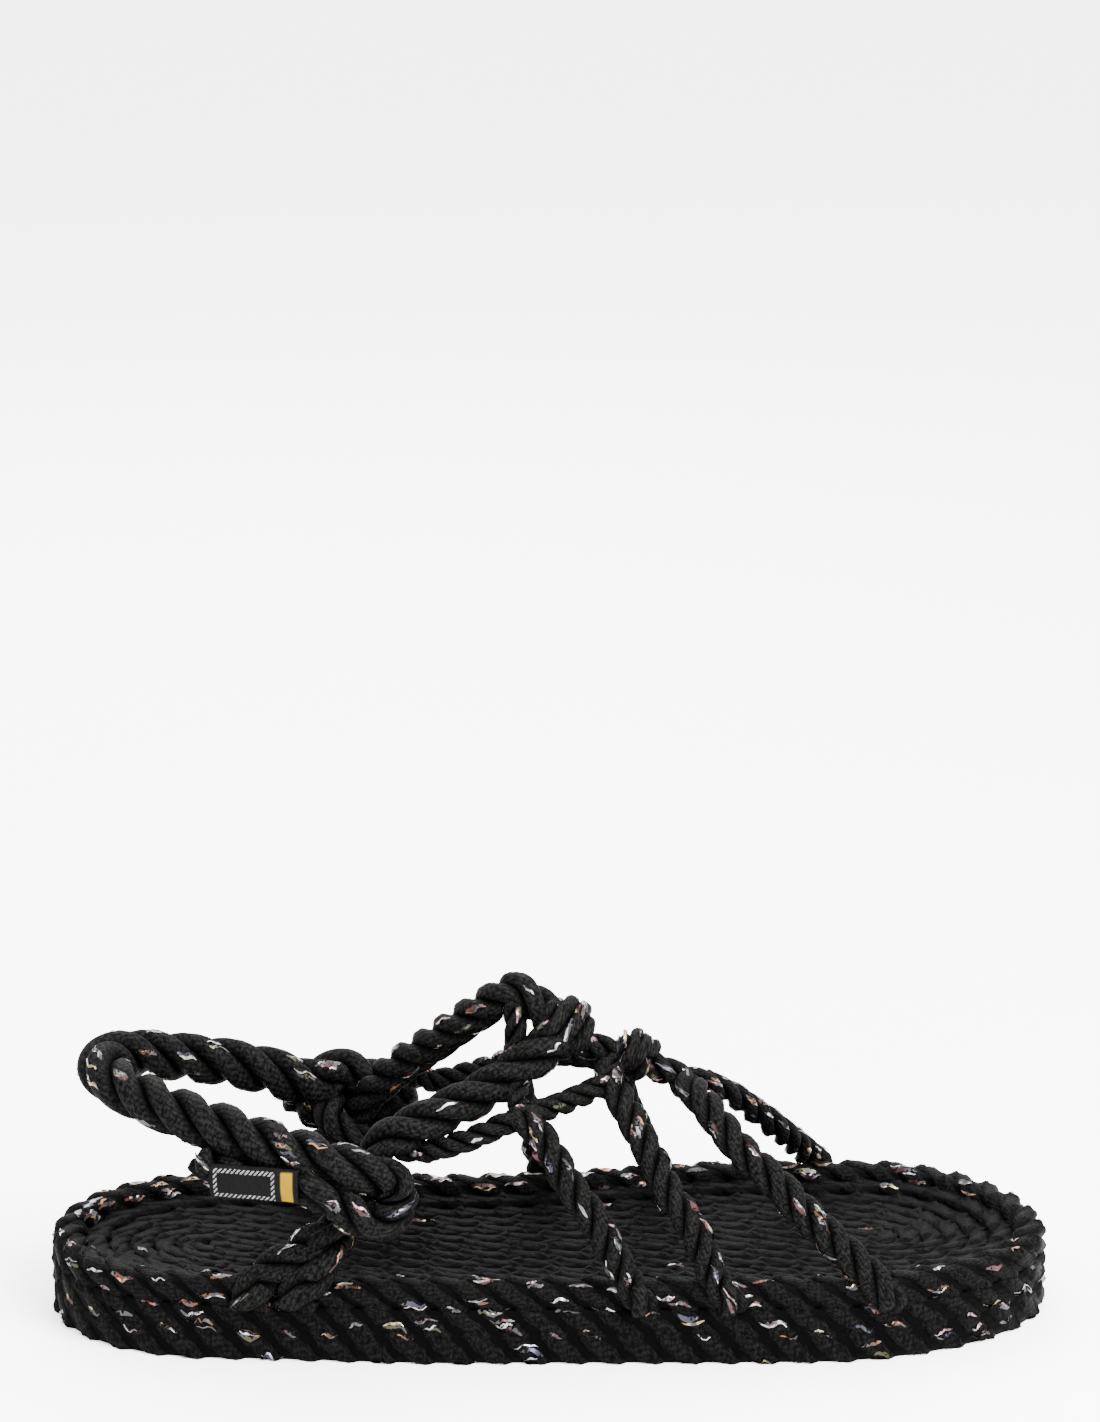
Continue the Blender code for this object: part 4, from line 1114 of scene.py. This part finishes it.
cloth_colour = mix(wear_and_groove_shade.step(0.35, 0.7), (0.0010, 0.0010, 0.0011, 1), (0.0032, 0.0032, 0.0034, 1))
cloth_colour = mix(border, cloth_colour, (0.15, 0.155, 0.15, 1))
cloth_colour = mix(band * (0.72 + wear_and_groove_shade * 0.3), cloth_colour, (0.17, 0.10, 0.004, 1))
cloth_tree.links.new(cloth_colour.socket, cloth_shader.inputs["Base Color"])
cloth_shader.inputs["Roughness"].default_value = 0.7
cloth_shader.inputs["Specular IOR Level"].default_value = 0.03
thread_height = {"Height": weave * 0.4 + border * 0.8 + wear_and_groove_shade * 0.5, "Distance": 0.00012, "Strength": 1.0}
cloth_tree.links.new(cloth.node("ShaderNodeBump", None, thread_height).socket, cloth_shader.inputs["Normal"])

label_start, label_end = (place(row) for row in LABEL_ENDS)
label_along = (label_end - label_start) / np.linalg.norm(label_end - label_start)
label_out = np.array([0.0, -1.0, 0.0])
label_out = label_out - label_along * np.dot(label_out, label_along)
label_out /= np.linalg.norm(label_out)
label_over = np.cross(label_along, label_out)
label_middle = (label_start + label_end) / 2
label_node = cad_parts["label"]
cad_label = np.array([label_node.matrix_world @ vertex.co for vertex in label_node.data.vertices])
label_face = ((cad_label - label_middle) @ label_out).max()
columns = np.linspace(0, 1, 41)
rows = np.linspace(0, 1, 17)
grid_u, grid_v = np.meshgrid(columns, rows, indexing="ij")
high = (grid_v - 0.5) * LABEL_HEIGHT
# The tag's long edges curl in round the rope, and its surface is a little uneven.
edge = np.clip((abs(grid_v - 0.5) - EDGE_CURL_START) / (0.5 - EDGE_CURL_START), 0, 1)
curl = high**2 / (2 * LABEL_BOW_RADIUS) + EDGE_CURL * edge**2
uneven = 0.00012 * np.sin(grid_u * 17 + grid_v * 3) + 0.00008 * np.sin(grid_u * 41 - grid_v * 11)
front = label_face - curl + uneven - TAG_INSET
sheet = (
    label_middle
    + label_along * ((grid_u - 0.5) * LABEL_LENGTH)[..., None]
    + label_over * high[..., None]
    + label_out * front[..., None]
)
back = sheet - label_out * (LABEL_THICKNESS * TAG_THICKNESS_SHARE)
tag_points = np.vstack([sheet.reshape(-1, 3), back.reshape(-1, 3)])
order = np.arange(grid_u.size).reshape(grid_u.shape)
sheet_corners = [order[:-1, :-1], order[1:, :-1], order[1:, 1:], order[:-1, 1:]]
sheet_faces = np.stack(sheet_corners, axis=-1).reshape(-1, 4)
rim_loop = np.concatenate([order[:, 0], order[-1, 1:], order[-2::-1, -1], order[0, -2:0:-1]])
next_loop = np.roll(rim_loop, -1)
edge_faces = np.stack([rim_loop, rim_loop + order.size, next_loop + order.size, next_loop], axis=-1)
tag_faces = np.vstack([sheet_faces, sheet_faces[:, ::-1] + order.size, edge_faces])
tag_maps = np.tile(np.stack([grid_u, grid_v], axis=-1).reshape(-1, 2), (2, 1))[tag_faces.ravel()]
tag = quads_object("woven_tag", tag_points, tag_faces, {"cloth": tag_maps}, label_cloth)
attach(tag, "root")
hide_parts("label")

# A pale floor under an even, bright sky, with a lamp over the toe's outer side and one behind, and the
# photograph's view.
FLOOR_SIZE = 30.0
floor_mesh = bpy.data.meshes.new("floor")
half = FLOOR_SIZE / 2
floor_mesh.from_pydata(
    [(-half, -half, 0), (half, -half, 0), (half, half, 0), (-half, half, 0)], [], [(0, 1, 2, 3)]
)
floor = bpy.data.objects.new("floor", floor_mesh)
bpy.context.scene.collection.objects.link(floor)
floor_paint = bpy.data.materials.new("floor_paint")
floor_paint.use_nodes = True
floor_paint.node_tree.nodes["Principled BSDF"].inputs["Base Color"].default_value = (0.94, 0.94, 0.94, 1)
floor_paint.node_tree.nodes["Principled BSDF"].inputs["Roughness"].default_value = 0.9
floor_mesh.materials.append(floor_paint)

world = bpy.data.worlds.new("studio")
world.use_nodes = True
world.node_tree.nodes["Background"].inputs["Color"].default_value = (1, 1, 1, 1)
world.node_tree.nodes["Background"].inputs["Strength"].default_value = 5.5
bpy.context.scene.world = world

# Columns: name, place, size and power.
LAMPS = (
    ("key", (0.45, -0.45, 0.90), 0.50, 56.0),
    ("back", (-0.20, 0.80, 0.90), 0.80, 28.0),
)
for name, spot, size, power in LAMPS:
    lamp = bpy.data.lights.new(name, "AREA")
    lamp.size = size
    lamp.energy = power
    lamp_object = bpy.data.objects.new(name, lamp)
    lamp_object.location = spot
    aim = -np.array(spot) / np.linalg.norm(spot)
    lamp_object.rotation_euler = (math.acos(-aim[2]), 0, math.atan2(aim[1], aim[0]) - math.pi / 2)
    bpy.context.scene.collection.objects.link(lamp_object)

PHOTO_HEIGHT = 1422
FOCAL_PIXELS = 5368
CAMERA_DISTANCE = 1.5
CAMERA_ELEVATION = math.radians(22.0)
CAMERA_YAW = math.radians(1.15)
CAMERA_TILT = math.radians(5.9)
LOOK_HEIGHT = 0.012
SENSOR_HEIGHT = 36
camera = bpy.data.cameras.new("camera")
camera.sensor_fit = "VERTICAL"
camera.sensor_height = SENSOR_HEIGHT
camera.lens = FOCAL_PIXELS / PHOTO_HEIGHT * SENSOR_HEIGHT
camera_object = bpy.data.objects.new("camera", camera)
camera_object.location = (
    -math.sin(CAMERA_YAW) * math.cos(CAMERA_ELEVATION) * CAMERA_DISTANCE,
    -math.cos(CAMERA_YAW) * math.cos(CAMERA_ELEVATION) * CAMERA_DISTANCE,
    LOOK_HEIGHT + math.sin(CAMERA_ELEVATION) * CAMERA_DISTANCE,
)
camera_object.rotation_euler = (math.pi / 2 - CAMERA_ELEVATION + CAMERA_TILT, 0, -CAMERA_YAW)
bpy.context.scene.collection.objects.link(camera_object)
bpy.context.scene.camera = camera_object
